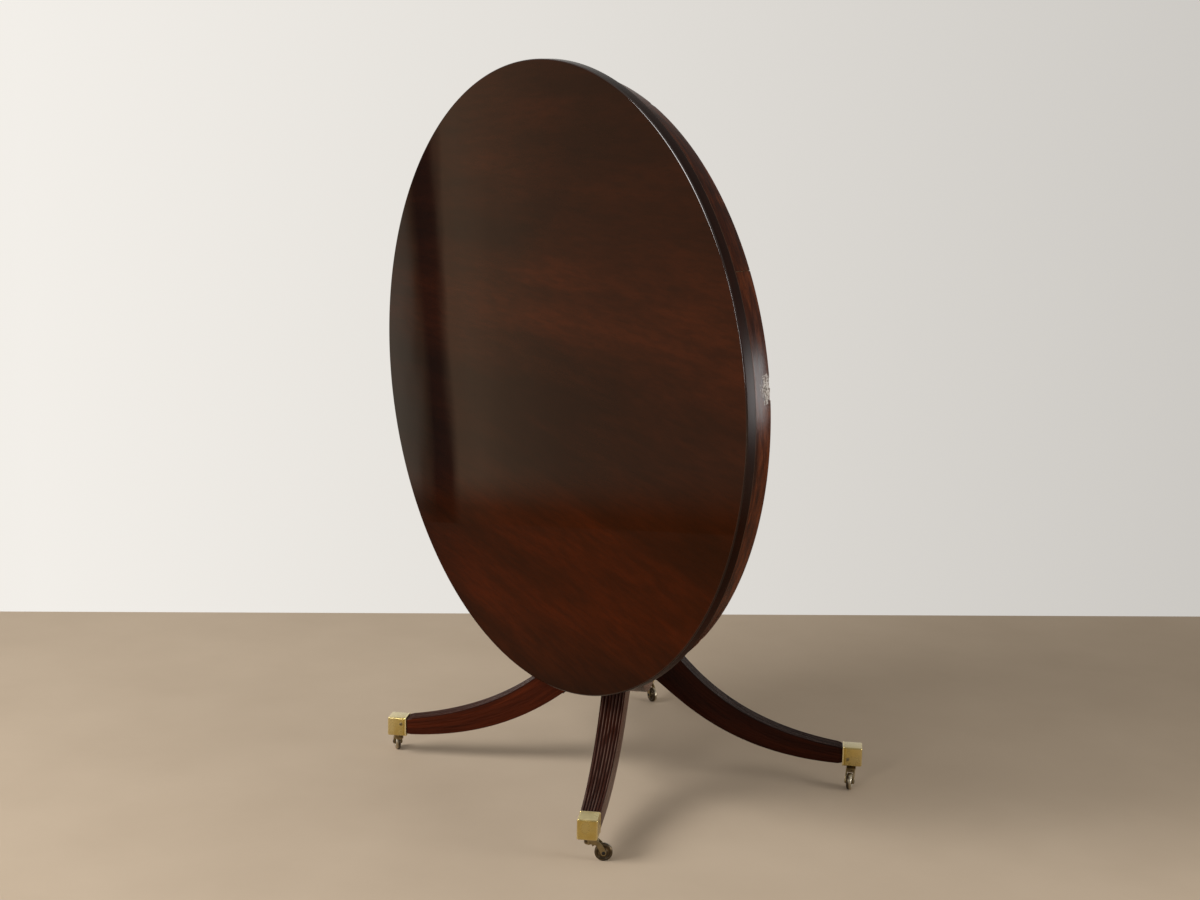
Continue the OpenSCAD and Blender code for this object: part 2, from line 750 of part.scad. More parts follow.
module leg_plate() {
    reach_t = arm_reach_t(iron_reach, 0, 1, 20);
    steps = 8;
    seat = [for (i = [0 : steps]) let (t = reach_t * i / steps, s = unit(bezier_slope(lower_edge, t)))
        bezier(lower_edge, t) - fit * [-s[1], s[0]]];
    under = [for (i = [0 : steps]) let (t = reach_t * i / steps, s = unit(bezier_slope(lower_edge, t)))
        bezier(lower_edge, t) - (fit + iron_t) * [-s[1], s[0]]];
    inner = iron_screw_r + iron_w / 2;
    arm = concat(
        [[inner, root_low - fit]], seat,
        [for (i = [steps : -1 : 0]) under[i]], [[inner, root_low - fit - iron_t]]);
    color(iron) difference() {
        union() {
            translate([0, 0, root_low - fit - iron_t]) cylinder(r = inner + 4, h = iron_t);
            for (a = leg_angles) rotate([0, 0, a])
                translate([0, iron_w / 2, 0]) rotate([90, 0, 0]) linear_extrude(iron_w) polygon(arm);
        }
        for (a = leg_angles) rotate([0, 0, a + 45])
            translate([iron_screw_r, 0, root_low - iron_t - 1])
                cylinder(r = screw_r + fit, h = iron_t + 2, $fn = 24);
        for (a = leg_angles) rotate([0, 0, a]) under_leg(arm_screw_t)
            translate([0, 0, -iron_t - 1]) cylinder(r = screw_r + fit, h = iron_t + 2, $fn = 24);
    }
}

module leg_plate_screws() {
    color(steel) {
        for (a = leg_angles) rotate([0, 0, a + 45])
            translate([iron_screw_r, 0, root_low - fit - iron_t])
                screw(screw_r, screw_head_r, screw_head_t, iron_t + drum_bite);
        for (a = leg_angles) rotate([0, 0, a]) under_leg(arm_screw_t)
            translate([0, 0, -fit - iron_t])
                screw(screw_r, screw_head_r, screw_head_t, iron_t + leg_bite);
    }
}

// Brass box caps

// The two side screws of a cap point inwards, with Z along the screw
module cap_screw_places() {
    translate([mouth_r + cap_screw_in, 0, cap_top - cap_screw_high])
        rotate([90, 0, 0]) children();
    translate([mouth_r + cap_screw_in, 0, cap_top - cap_screw_low])
        rotate([-90, 0, 0]) children();
}

module cap(k) {
    spare = 5;
    color(brass) rotate([0, 0, leg_angles[k]]) difference() {
        intersection() {
            union() {
                translate([mouth_r - spare, 0, cap_z])
                    round_box(cap_l + spare, cap_w, cap_h, cap_round);
                translate([mouth_r - spare, 0, cap_z - band_h])
                    round_box(band_l + spare, cap_w + 2 * band_h, cap_h + 2 * band_h, cap_round / 2);
            }
            translate([mouth_r, -cap_w, 0]) cube([cap_l + 1, 2 * cap_w, cap_top * 2]);
        }
        translate([mouth_r - 1, cap_wall - cap_w / 2, cap_z + cap_floor])
            cube([cap_l + 1 - cap_wall, cap_w - 2 * cap_wall, cap_h - cap_floor - cap_wall]);
        translate([swivel_r, 0, cap_z - 1]) cylinder(r = stem_d / 2 + run, h = cap_floor + 2);
        cap_screw_places() translate([0, 0, -cap_w / 2 - 1])
            cylinder(r = small_r + fit, h = cap_wall + 2, $fn = 24);
        cap_screw_places() translate([0, 0, -cap_w / 2 - 1])
            cylinder(r = small_head_r + fit, h = 1 + cap_wall / 2, $fn = 32);
    }
}

module cap_front() cap(0);

module cap_right() cap(1);

module cap_back() cap(2);

module cap_left() cap(3);

module cap_screws() {
    color(old_brass) for (a = leg_angles) rotate([0, 0, a])
        cap_screw_places() translate([0, 0, cap_wall / 2 - cap_w / 2])
            screw(small_r, small_head_r, cap_wall / 2, cap_screw_l - cap_wall / 2);
}

// Castors: the trail runs along X from the swivel axis

module at_castor(k) {
    rotate([0, 0, leg_angles[k]]) translate([swivel_r, 0, 0])
        rotate([0, 0, castor_turn[k] - leg_angles[k]]) children();
}

// Lays a side view drawn in X and Z across the width of the castor
module across(w) {
    translate([0, w / 2, 0]) rotate([90, 0, 0]) linear_extrude(w) children();
}

module castor_fork(k) {
    axle = [trail, wheel_r];
    color(old_brass) at_castor(k) {
        difference() {
            union() {
                across(fork_w) difference() {
                    strap(boss_mid, boss_h / 2 + 1, knee, knee_r);
                    translate(axle) circle(r = wheel_r + 1);
                }
                for (side = [-1, 1])
                    translate([0, side * (fork_w - arm_t) / 2, 0]) across(arm_t) {
                        strap(boss_mid, boss_h / 2 + 1, knee, knee_r);
                        strap(knee, knee_r, axle, eye_r);
                    }
                translate([0, 0, fork_top - boss_h]) cylinder(d = boss_d, h = boss_h);
            }
            translate([trail, 0, wheel_r]) rotate([90, 0, 0])
                cylinder(r = axle_d / 2 + run, h = 2 * fork_w, center = true);
            translate([-trail, -trail, fork_top]) cube([2 * trail, 2 * trail, boss_h]);
        }
        translate([0, 0, fork_top - 1]) cylinder(d = stem_d, h = stem_h + 1);
        translate([0, 0, fork_top + stem_h]) cylinder(r = stem_head_r, h = stem_head_h);
    }
}

module castor_axle(k) {
    color(iron) at_castor(k) translate([trail, 0, wheel_r]) rotate([90, 0, 0]) {
        cylinder(d = axle_d, h = fork_w + 2 * fit, center = true);
        for (side = [0, 180]) rotate([side, 0, 0])
            translate([0, 0, fork_w / 2 + fit]) cylinder(r = axle_head_r, h = axle_head_t);
    }
}

// Turned brass wheel: a rounded tread, sunk sides and a hub
module castor_wheel(k) {
    tread_w = wheel_w - 1.5;
    tread_round = 3;
    sunk = 2;
    rim_w = 4.5;
    hub_r = axle_d / 2 + 3.5;
    bore_r = axle_d / 2 + run;
    color(old_brass) at_castor(k) translate([trail, 0, wheel_r]) rotate([90, 0, 0])
        rotate_extrude($fn = 96) {
            translate([bore_r, -wheel_w / 2]) square([hub_r - bore_r, wheel_w]);
            translate([bore_r, sunk - tread_w / 2])
                square([wheel_r - rim_w - bore_r + 1, tread_w - 2 * sunk]);
            translate([wheel_r - rim_w, -tread_w / 2]) square([rim_w - tread_round, tread_w]);
            translate([wheel_r - rim_w, tread_round - tread_w / 2])
                square([rim_w, tread_w - 2 * tread_round]);
            for (y = [-1, 1]) translate([wheel_r - tread_round, y * (tread_w / 2 - tread_round)])
                circle(r = tread_round, $fn = 48);
        }
}

module castor_fork_front() castor_fork(0);

module castor_fork_right() castor_fork(1);

module castor_fork_back() castor_fork(2);

module castor_fork_left() castor_fork(3);

module castor_axle_front() castor_axle(0);

module castor_axle_right() castor_axle(1);

module castor_axle_back() castor_axle(2);

module castor_axle_left() castor_axle(3);

module castor_wheel_front() castor_wheel(0);

module castor_wheel_right() castor_wheel(1);

module castor_wheel_back() castor_wheel(2);

module castor_wheel_left() castor_wheel(3);

top_board();
frieze_bricks();
frieze_veneer();
glue_blocks();
bearer_left();
bearer_right();
bearer_screws();
pivot_pin_left();
pivot_pin_right();
catch_plate_left();
catch_plate_right();
catch_plate_screws();
tilt_block();
pillar();
tenon_wedge();
escutcheon_left();
escutcheon_right();
escutcheon_screws();
thumbscrew_left();
thumbscrew_right();
leg_front();
leg_right();
leg_back();
leg_left();
leg_plate();
leg_plate_screws();
cap_front();
cap_right();
cap_back();
cap_left();
cap_screws();
castor_fork_front();
castor_fork_right();
castor_fork_back();
castor_fork_left();
castor_axle_front();
castor_axle_right();
castor_axle_back();
castor_axle_left();
castor_wheel_front();
castor_wheel_right();
castor_wheel_back();
castor_wheel_left();
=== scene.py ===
"""Looks of a round tilt-top breakfast table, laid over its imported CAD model.

The shapes are drawn in millimetres, in the CAD model's own frame: the origin on the floor on the
pillar's axis, +Z up, the polished face of the tipped top towards -Y. new_mesh() turns them into
metres. Shaders, lamps and the camera are in metres.
"""

import math

import bpy
from mathutils import Matrix, Vector


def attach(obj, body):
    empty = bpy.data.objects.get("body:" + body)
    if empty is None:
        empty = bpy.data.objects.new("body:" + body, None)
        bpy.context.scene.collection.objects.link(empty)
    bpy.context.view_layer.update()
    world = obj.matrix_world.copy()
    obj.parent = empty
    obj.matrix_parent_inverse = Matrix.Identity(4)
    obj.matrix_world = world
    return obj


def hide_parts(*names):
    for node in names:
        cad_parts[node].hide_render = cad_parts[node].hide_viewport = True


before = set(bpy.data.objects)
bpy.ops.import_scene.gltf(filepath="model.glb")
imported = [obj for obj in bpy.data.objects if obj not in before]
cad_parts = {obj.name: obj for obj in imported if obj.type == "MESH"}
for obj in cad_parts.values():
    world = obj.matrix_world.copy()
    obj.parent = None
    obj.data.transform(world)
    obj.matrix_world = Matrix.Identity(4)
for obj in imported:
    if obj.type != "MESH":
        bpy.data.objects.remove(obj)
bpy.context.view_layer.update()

MM = 0.001
SHARP = 35  # degrees between faces from which an edge is drawn sharp

# Sizes that the pieces share with the CAD model, in millimetres
TOP_R = 610.0
BOARD_T = 21.0
BOARD_UNDER = 698.5
FACE_ARRIS = 3.0
UNDER_ARRIS = 1.5
FRIEZE_R = 587.5
FRIEZE_H = 51.0
VENEER_T = 2.0
VENEER_TURN = 25.0
HINGE_OUT = 155.0
HINGE_Z = 668.1
TIP = math.radians(92.45)
BLOCK_TOP = 698.1
BLOCK_LOW = 638.1
CATCH = (60.0, 30.0, 2.5)  # a catch plate's length, width and thickness
THUMB = (70.0, 110.0)  # each thumbscrew's distance to the side and to the back
THUMB_R = 4.5
ROOT_LOW = 213.0
ROOT_TOP = 316.0
DRUM_FLAT = 56.0
FOOT_R = 493.5
MOUTH_R = 454.0
CAP_Z = 44.5
CAP_TOP = 84.0
CAP_W = 38.0
SWIVEL_R = 473.75
WHEEL_R = 16.5
TRAIL = 28.0
FORK_TOP = 44.1
FORK_W = 18.0
ARM_T = 2.6
SIDES = ("front", "right", "back", "left")
LEG_ANGLES = [math.radians(90 * k - 43.4) for k in range(4)]
CASTOR_ANGLES = [math.radians(a) for a in (53.5, -50.5, -8.5, 157.0)]

# Carries what is drawn level to its place on the tipped top, as a turn about the hinge line
TIPPED = (
    Matrix.Translation((0, -HINGE_OUT, HINGE_Z))
    @ Matrix.Rotation(TIP, 4, "X")
    @ Matrix.Translation((0, HINGE_OUT, -HINGE_Z))
)

# The tipped face's plane: the way it looks, and its distance from the origin in metres
FACE_WAY = (TIPPED.to_3x3() @ Vector((0, 0, 1))).normalized()
FACE_PLANE = (TIPPED @ Vector((0, 0, BOARD_UNDER + BOARD_T))).dot(FACE_WAY) * MM


# Shapes: each is (points, faces) or (points, faces, uvs), where uvs has a pair for each face corner

def revolve(profile, steps):
    """Turns a list of (radius, height) round the Z axis. uvs run round it and along the profile."""
    points, rings = [], []
    along = [0.0]
    for a, b in zip(profile, profile[1:]):
        along.append(along[-1] + math.dist(a, b) * MM)
    girth = math.tau * max(r for r, z in profile) * MM
    for r, z in profile:
        if r < 1e-6:
            rings.append([len(points)] * steps)
            points.append((0.0, 0.0, z))
        else:
            rings.append([len(points) + i for i in range(steps)])
            points += [(r * math.cos(a), r * math.sin(a), z)
                       for a in (math.tau * i / steps for i in range(steps))]
    faces, uvs = [], []
    for level, (low, high) in enumerate(zip(rings, rings[1:])):
        for i in range(steps):
            j = (i + 1) % steps
            corners = ((low[i], i, 0), (low[j], i + 1, 0), (high[j], i + 1, 1), (high[i], i, 1))
            kept = [c for k, c in enumerate(corners) if c[0] != corners[k - 1][0]]
            faces.append([v for v, turn, up in kept])
            uvs += [(girth * turn / steps, along[level + up]) for v, turn, up in kept]
    return points, faces, uvs


def loft(rings):
    """Joins rings of points. uvs run along the rings' centres and round the widest ring."""
    n = len(rings[0])
    points = [p for ring in rings for p in ring]
    middle = [sum((Vector(p) for p in ring), Vector()) / n for ring in rings]
    along = [0.0]
    for a, b in zip(middle, middle[1:]):
        along.append(along[-1] + (b - a).length * MM)

    def girth(ring):
        return sum((Vector(a) - Vector(b)).length for a, b in zip(ring, ring[1:]))

    widest = max(rings, key=girth)
    about = [0.0]
    for i in range(n):
        about.append(about[-1] + (Vector(widest[i]) - Vector(widest[(i + 1) % n])).length * MM)
    faces, uvs = [], []
    for j in range(len(rings) - 1):
        for i in range(n):
            k = (i + 1) % n
            faces.append([j * n + i, j * n + k, (j + 1) * n + k, (j + 1) * n + i])
            uvs += [(along[j], about[i]), (along[j], about[i + 1]),
                    (along[j + 1], about[i + 1]), (along[j + 1], about[i])]
    for end, order in ((0, range(n - 1, -1, -1)), (len(rings) - 1, range(n))):
        faces.append([end * n + i for i in order])
        uvs += [(along[end], about[i]) for i in order]
    return points, faces, uvs


def moved(shape, matrix):
    return ([tuple(matrix @ Vector(p)) for p in shape[0]],) + tuple(shape[1:])


def merged(shapes):
    points, faces = [], []
    for shape in shapes:
        faces += [[v + len(points) for v in face] for face in shape[1]]
        points += shape[0]
    return points, faces


def arc(cx, cy, r, start, end, steps):
    """Points of an arc, angles in degrees."""
    return [(cx + r * math.cos(a), cy + r * math.sin(a))
            for a in (math.radians(start + (end - start) * i / steps) for i in range(steps + 1))]


def bezier(p, t):
    s = 1 - t
    return tuple(s ** 3 * a + 3 * s * s * t * b + 3 * s * t * t * c + t ** 3 * d
                 for a, b, c, d in zip(*p))


def round_rect(x, half_w, low, high, r, steps=4):
    """A rectangle with round corners, across the X axis at x."""
    corners = ((half_w - r, high - r, 0), (r - half_w, high - r, 90),
               (r - half_w, low + r, 180), (half_w - r, low + r, 270))
    return [(x, y, z) for cy, cz, a in corners for y, z in arc(cy, cz, r, a, a + 90, steps)]


def rounded_bar(length, width, height, r):
    """A box from the origin along X, with every edge rounded."""
    rings = []
    for x, inset in [(r - r * math.cos(a), r - r * math.sin(a))
                     for a in (math.radians(15 * i) for i in range(7))]:
        rings.append(round_rect(x, width / 2 - inset, inset, height - inset, max(r - inset, 0.05)))
    rings += [[(length - x, y, z) for x, y, z in ring] for ring in rings[::-1]]
    return loft(rings)


# Objects

def new_mesh(name, points, faces):
    mesh = bpy.data.meshes.new(name)
    mesh.from_pydata([tuple(c * MM for c in p) for p in points], [], faces)
    return mesh


def new_object(name, data):
    obj = bpy.data.objects.new(name, data)
    bpy.context.scene.collection.objects.link(obj)
    return obj


def piece(name, shape, material, body, replaces=(), sharp=SHARP):
    """Makes a shape a piece of the object that rides on a body."""
    mesh = new_mesh(name, shape[0], shape[1])
    if len(shape) > 2:
        layer = mesh.uv_layers.new(name="along")
        layer.data.foreach_set("uv", [c for uv in shape[2] for c in uv])
    mesh.polygons.foreach_set("use_smooth", [True] * len(mesh.polygons))
    mesh.set_sharp_from_angle(angle=math.radians(sharp))
    mesh.materials.append(material)
    mesh.validate()
    obj = new_object(name, mesh)
    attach(obj, body)
    if replaces:
        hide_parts(*replaces)
    return obj


def soften(obj, width):
    """Rounds the edges of a CAD solid a little, once its flat sides are whole."""
    obj.modifiers.new("weld", "WELD").merge_threshold = 2e-6
    flat = obj.modifiers.new("flat", "DECIMATE")
    flat.decimate_type = "DISSOLVE"
    flat.angle_limit = math.radians(0.5)
    bevel = obj.modifiers.new("soft edges", "BEVEL")
    bevel.width = width * MM
    bevel.segments = 3
    bevel.limit_method = "ANGLE"
    bevel.angle_limit = math.radians(40)
    bevel.harden_normals = True


def cut(obj, shapes):
    """Takes closed shapes out of a piece."""
    cutter = new_object("cutter", new_mesh("cutter", *merged(shapes)))
    boolean = obj.modifiers.new("cut", "BOOLEAN")
    boolean.operation = "DIFFERENCE"
    boolean.solver = "EXACT"
    boolean.object = cutter
    bpy.context.view_layer.update()
    evaluated = obj.evaluated_get(bpy.context.evaluated_depsgraph_get())
    obj.data = bpy.data.meshes.new_from_object(evaluated)
    obj.modifiers.remove(boolean)
    bpy.data.objects.remove(cutter)
    obj.data.set_sharp_from_angle(angle=math.radians(SHARP))


def dress(node, material, bevel=0.0):
    """Gives a CAD node its finish, and softens its edges."""
    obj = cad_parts[node]
    obj.data.materials.clear()
    obj.data.materials.append(material)
    if bevel:
        soften(obj, bevel)


# Materials

class Shader:
    """Builds a node material: each call makes a node and links or sets its inputs."""

    def __init__(self, name, tree=None):
        self.material = None
        if tree is None:
            self.material = bpy.data.materials.new(name)
            self.material.use_nodes = True
            tree = self.material.node_tree
        self.tree = tree
        tree.nodes.clear()

    def node(self, kind, inputs=None, **settings):
        made = self.tree.nodes.new(kind)
        for key, value in settings.items():
            setattr(made, key, value)
        for key, value in (inputs or {}).items():
            if isinstance(value, bpy.types.NodeSocket):
                self.tree.links.new(value, made.inputs[key])
            else:
                made.inputs[key].default_value = value
        return made

    def coords(self, source, scale=(1, 1, 1), turn=(0, 0, 0), shift=(0, 0, 0)):
        """Coordinates turned by degrees, then scaled and shifted."""
        origin = self.node("ShaderNodeTexCoord").outputs[source]
        turn = tuple(math.radians(a) for a in turn)
        turned = self.node("ShaderNodeMapping", {"Vector": origin, "Rotation": turn})
        return self.node("ShaderNodeMapping", {
            "Vector": turned.outputs[0], "Location": shift, "Scale": scale}).outputs[0]

    def noise(self, vector, scale, detail=3.0, rough=0.55, distortion=0.0):
        return self.node("ShaderNodeTexNoise", {
            "Vector": vector, "Scale": scale, "Detail": detail, "Roughness": rough,
            "Distortion": distortion}).outputs["Fac"]

    def ramp(self, value, stops, smooth=False):
        """A colour ramp. Each stop is (position, grey) or (position, colour)."""
        made = self.node("ShaderNodeValToRGB", {"Fac": value})
        ramp = made.color_ramp
        ramp.interpolation = "EASE" if smooth else "LINEAR"
        while len(ramp.elements) < len(stops):
            ramp.elements.new(0.5)
        for element, (at, colour) in zip(ramp.elements, stops):
            element.position = at
            element.color = (*(colour if isinstance(colour, tuple) else (colour,) * 3), 1)
        return made.outputs["Color"]

    def mix(self, factor, a, b, blend="MIX"):
        made = self.node("ShaderNodeMix", data_type="RGBA", blend_type=blend)
        for key, value in ((0, factor), (6, a), (7, b)):
            if isinstance(value, bpy.types.NodeSocket):
                self.tree.links.new(value, made.inputs[key])
            elif isinstance(value, tuple):
                made.inputs[key].default_value = (*value, 1)
            else:
                made.inputs[key].default_value = value
        return made.outputs[2]

    def math(self, operation, a, b=0.0):
        return self.node("ShaderNodeMath", {0: a, 1: b}, operation=operation).outputs[0]

    def times(self, a, b):
        return self.math("MULTIPLY", a, b)

    def plus(self, a, b):
        return self.math("ADD", a, b)

    def minus(self, a, b):
        return self.math("SUBTRACT", a, b)

    def blend(self, broad, streaks, share=0.62):
        """Wood's figure: a share of the broad noise and the rest of the streaks."""
        return self.plus(self.times(broad, share), self.times(streaks, 1 - share))

    def axes(self, vector):
        return self.node("ShaderNodeSeparateXYZ", {"Vector": vector}).outputs

    def vector(self, x, y, z):
        return self.node("ShaderNodeCombineXYZ", {0: x, 1: y, 2: z}).outputs[0]

    def length(self, vector):
        return self.node("ShaderNodeVectorMath", {0: vector}, operation="LENGTH").outputs["Value"]

    def finish(self, colour, roughness, bump=None, bump_depth=0.0, **constants):
        inputs = {"Base Color": colour, "Roughness": roughness, **constants}
        if bump is not None:
            inputs["Normal"] = self.node("ShaderNodeBump", {
                "Height": bump, "Distance": bump_depth, "Strength": 1.0}).outputs[0]
        shader = self.node("ShaderNodeBsdfPrincipled", inputs)
        self.node("ShaderNodeOutputMaterial", {"Surface": shader.outputs[0]})
        return self.material


def wood(name, dark, mid, warm, stretch, roughness, gloss, figure, shift=(0, 0, 0), lined=0.55,
         pores=0.5):
    """Polished wood.

    stretch is how many times finer the figure is along each axis, figure makes all of it finer,
    and lined and pores say how strongly its veins and pores show.
    """
    s = Shader(name)
    where = s.coords("Object", scale=stretch, shift=shift)
    broad = s.noise(where, 1.3 * figure, detail=4, rough=0.5, distortion=0.6)
    streaks = s.noise(where, 6.5 * figure, detail=6, rough=0.62, distortion=0.25)
    fine = s.noise(where, 42.0 * figure, detail=3, rough=0.6)
    flecks = s.noise(where, 130.0 * figure, detail=2, rough=0.5)
    base = s.ramp(s.blend(broad, streaks), [(0.36, dark), (0.5, mid), (0.62, warm)])
    veined = s.mix(s.ramp(fine, [(0.38, lined), (0.62, 0.0)]), base, tuple(c * 0.55 for c in dark))
    pored = s.mix(s.ramp(flecks, [(0.30, pores), (0.40, 0.0)]), veined,
                  tuple(c * 0.4 for c in dark))
    rough = s.ramp(streaks, [(0.3, roughness[0]), (0.7, roughness[1])])
    height = s.plus(s.times(fine, 0.5), s.times(flecks, 0.5))
    return s.finish(pored, rough, height, 0.00012, **{"Specular IOR Level": gloss})


def face_finish():
    """Polished face: a broad, soft figure, painted darker to the left as painted shade, redder and
    duller at the foot.
    """
    s = Shader("face_mahogany")
    place = s.coords("Object")
    x, y, z = s.axes(place)

    # The figure runs level above and ever more aslant towards the foot
    slant = s.times(x, s.times(s.minus(1.2, z), 0.26))
    where = s.node("ShaderNodeMapping", {
        "Vector": s.vector(x, y, s.plus(z, slant)), "Location": (3.1, 0, 1.7),
        "Scale": (0.42, 4.0, 2.4)}).outputs[0]
    broad = s.noise(where, 1.3, detail=3, rough=0.5, distortion=0.8)
    streaks = s.noise(where, 5.5, detail=6, rough=0.6, distortion=0.3)
    fine = s.noise(where, 42.0, detail=3, rough=0.6)
    flecks = s.noise(where, 150.0, detail=2)
    base = s.ramp(s.blend(broad, streaks), [
        (0.39, (0.0160, 0.0052, 0.0024)), (0.5, (0.027, 0.0070, 0.0026)),
        (0.60, (0.044, 0.0098, 0.0030))])
    base = s.mix(s.ramp(fine, [(0.38, 0.34), (0.62, 0.0)]), base, (0.012, 0.0042, 0.002))
    base = s.mix(s.ramp(flecks, [(0.30, 0.16), (0.40, 0.0)]), base, (0.008, 0.003, 0.0015))

    # The left is painted darker, as painted shade. low is the height above a line that rises a
    # little to the right
    left = s.ramp(s.plus(s.times(x, 0.8), 0.5), [
        (0.02, 0.42), (0.14, 0.48), (0.32, 0.92), (0.6, 1.0)])
    base = s.mix(1.0, base, left, "MULTIPLY")
    low = s.minus(z, s.times(x, 0.143))
    foot = s.ramp(low, [
        (0.21, (0.50, 0.60, 0.62)), (0.29, (0.90, 0.76, 0.45)), (0.38, (1.26, 0.84, 0.26)),
        (0.57, (1.14, 0.80, 0.28)), (0.66, (1.0, 1.0, 1.0))])
    base = s.mix(1.0, base, foot, "MULTIPLY")

    # The rim: edge grows from 0 where the arris starts, by 1 every 2 mm outwards, and depth is
    # the distance below the face in metres
    middle_z, growth = 0.8212, 500.0
    out = s.length(s.vector(x, 0.0, s.minus(z, middle_z)))
    edge = s.times(s.minus(out, (TOP_R - FACE_ARRIS) * MM), growth)
    depth = s.minus(FACE_PLANE, s.node("ShaderNodeVectorMath", {
        0: place, 1: tuple(FACE_WAY)}, operation="DOT_PRODUCT").outputs["Value"])
    arris = s.times(s.ramp(edge, [(0.05, 0.0), (0.3, 1.0)]),
                    s.math("LESS_THAN", depth, FACE_ARRIS * MM * 0.9))
    arris = s.times(arris, s.ramp(z, [(0.74, 0.3), (0.84, 1.0)]))
    rough = s.math("MAXIMUM", s.ramp(streaks, [(0.3, 0.010), (0.7, 0.020)]),
                   s.ramp(edge, [(0.0, 0.0), (1.0, 0.3)]))
    rough = s.minus(rough, s.times(arris, 0.12))
    gloss = s.plus(s.ramp(low, [(0.555, 0.03), (0.64, 0.11)], smooth=True), s.times(arris, 0.7))
    base = s.mix(s.ramp(edge, [(0.6, 0.0), (1.0, 0.6)]), base, (0.008, 0.0026, 0.0015))

    # The underside is stained but not polished
    under = s.ramp(s.times(depth, 1 / (BOARD_T * MM)), [(0.90, 0.0), (0.94, 1.0)])
    stained = s.ramp(streaks, [(0.36, (0.030, 0.014, 0.008)), (0.62, (0.075, 0.034, 0.017))])
    base = s.mix(under, base, stained)
    rough = s.math("MAXIMUM", rough, s.times(under, 0.58))

    ripple = s.noise(s.coords("Object", scale=(1.0, 1.0, 0.6)), 4.5, detail=2, rough=0.4)
    height = s.plus(ripple, s.times(fine, 0.02))
    return s.finish(base, rough, height, 0.00028, **{"Specular IOR Level": gloss})


def metal(name, bright, dull, roughness, tarnish, grain=900.0, depth=0.00004, film_and_top_light=0.0,
          wear_and_glint_colour=None, mottle=5.0):
    """Metal: bright at its edges from wear and painted highlight, dull in patches.

    tarnish spreads the dull patches and mottle is their detail. A dull coating, when asked for,
    makes them less metallic and paints what faces up paler and less metallic, as painted light from
    above. The edge colour is for edges bright from wear, which on the brass also stands as a
    painted highlight.
    """
    s = Shader(name)
    where = s.coords("Object")
    patches = s.noise(where, 38.0, detail=mottle, rough=0.65, distortion=0.4)
    scratches = s.noise(s.coords("Object", scale=(1, 1, 7), turn=(20, 35, 0)), grain, detail=2)
    # Sharp edges take the bright colour: wear, and on the brass a painted highlight as well.
    edge = s.node("ShaderNodeNewGeometry").outputs["Pointiness"]
    edge_wear_and_glint = s.ramp(edge, [(0.50, 0.0), (0.56, 1.0)])
    cover = s.ramp(patches, [(0.5 - 0.25 * tarnish, 0.0), (0.62, 1.0)])
    colour = s.mix(cover, bright, dull)
    if film_and_top_light:
        # What faces up is painted paler and less metallic, in a dust colour: painted light from
        # above.
        facing = s.axes(s.coords("Normal"))[2]
        colour = s.mix(s.ramp(facing, [(0.75, 0.0), (0.95, 1.0)]), colour, (0.56, 0.47, 0.235))
        bare = s.times(s.ramp(patches, [(0.3, 1.0), (0.7, 1.0 - 2 * film_and_top_light)]),
                      s.ramp(facing, [(0.75, 1.0), (0.95, 0.35)]))
    colour = s.mix(s.times(edge_wear_and_glint, 0.8), colour, wear_and_glint_colour or bright)
    rough = s.plus(s.ramp(patches, [(0.35, roughness[0]), (0.68, roughness[1])]),
                   s.times(scratches, 0.06))
    return s.finish(colour, rough, scratches, depth, Metallic=bare if film_and_top_light else 1.0)


def frieze_finish():
    """Frieze veneer: livelier figure, and one scuffed spot near the free edge."""
    s = Shader("frieze_mahogany")
    where = s.coords("UV", scale=(1.0, 7.0, 1.0))
    broad = s.noise(where, 9.0, detail=3, rough=0.5, distortion=1.2)
    streaks = s.noise(where, 26.0, detail=5, rough=0.6, distortion=0.4)
    fine = s.noise(where, 110.0, detail=3)
    base = s.ramp(s.blend(broad, streaks, 0.6), [
        (0.37, (0.024, 0.0060, 0.0022)), (0.49, (0.060, 0.0125, 0.0030)),
        (0.62, (0.130, 0.029, 0.0060))])
    base = s.mix(s.ramp(fine, [(0.38, 0.4), (0.62, 0.0)]), base, (0.02, 0.006, 0.003))

    # The spot is an oval with ragged edges, longer round the frieze than across it
    bearing, level, radius, longer = math.radians(5.3), 656, 0.034, 85 / 32
    spot = TIPPED @ Vector((FRIEZE_R * math.cos(bearing), FRIEZE_R * math.sin(bearing), level))
    away = s.coords("Object", scale=(1, longer, 1), shift=tuple(
        -c * k * MM for c, k in zip(spot, (1, longer, 1))))
    ragged = s.noise(s.coords("Object", scale=(1, 2.5, 1)), 130.0, detail=4, rough=0.6)
    near = s.plus(s.times(s.length(away), 1 / radius), s.times(s.minus(ragged, 0.5), 2.6))
    scuff = s.ramp(near, [(0.62, 1.0), (0.72, 0.0)])
    flake = s.ramp(s.noise(s.coords("Object"), 420.0, detail=2), [
        (0.40, (0.06, 0.04, 0.03)), (0.47, (0.42, 0.38, 0.34)), (0.6, (0.62, 0.58, 0.54))])
    base = s.mix(scuff, base, flake)
    rough = s.math("MAXIMUM", s.ramp(streaks, [(0.3, 0.18), (0.7, 0.27)]), s.times(scuff, 0.5))
    return s.finish(base, rough, fine, 0.00008, **{"Specular IOR Level": 0.16})


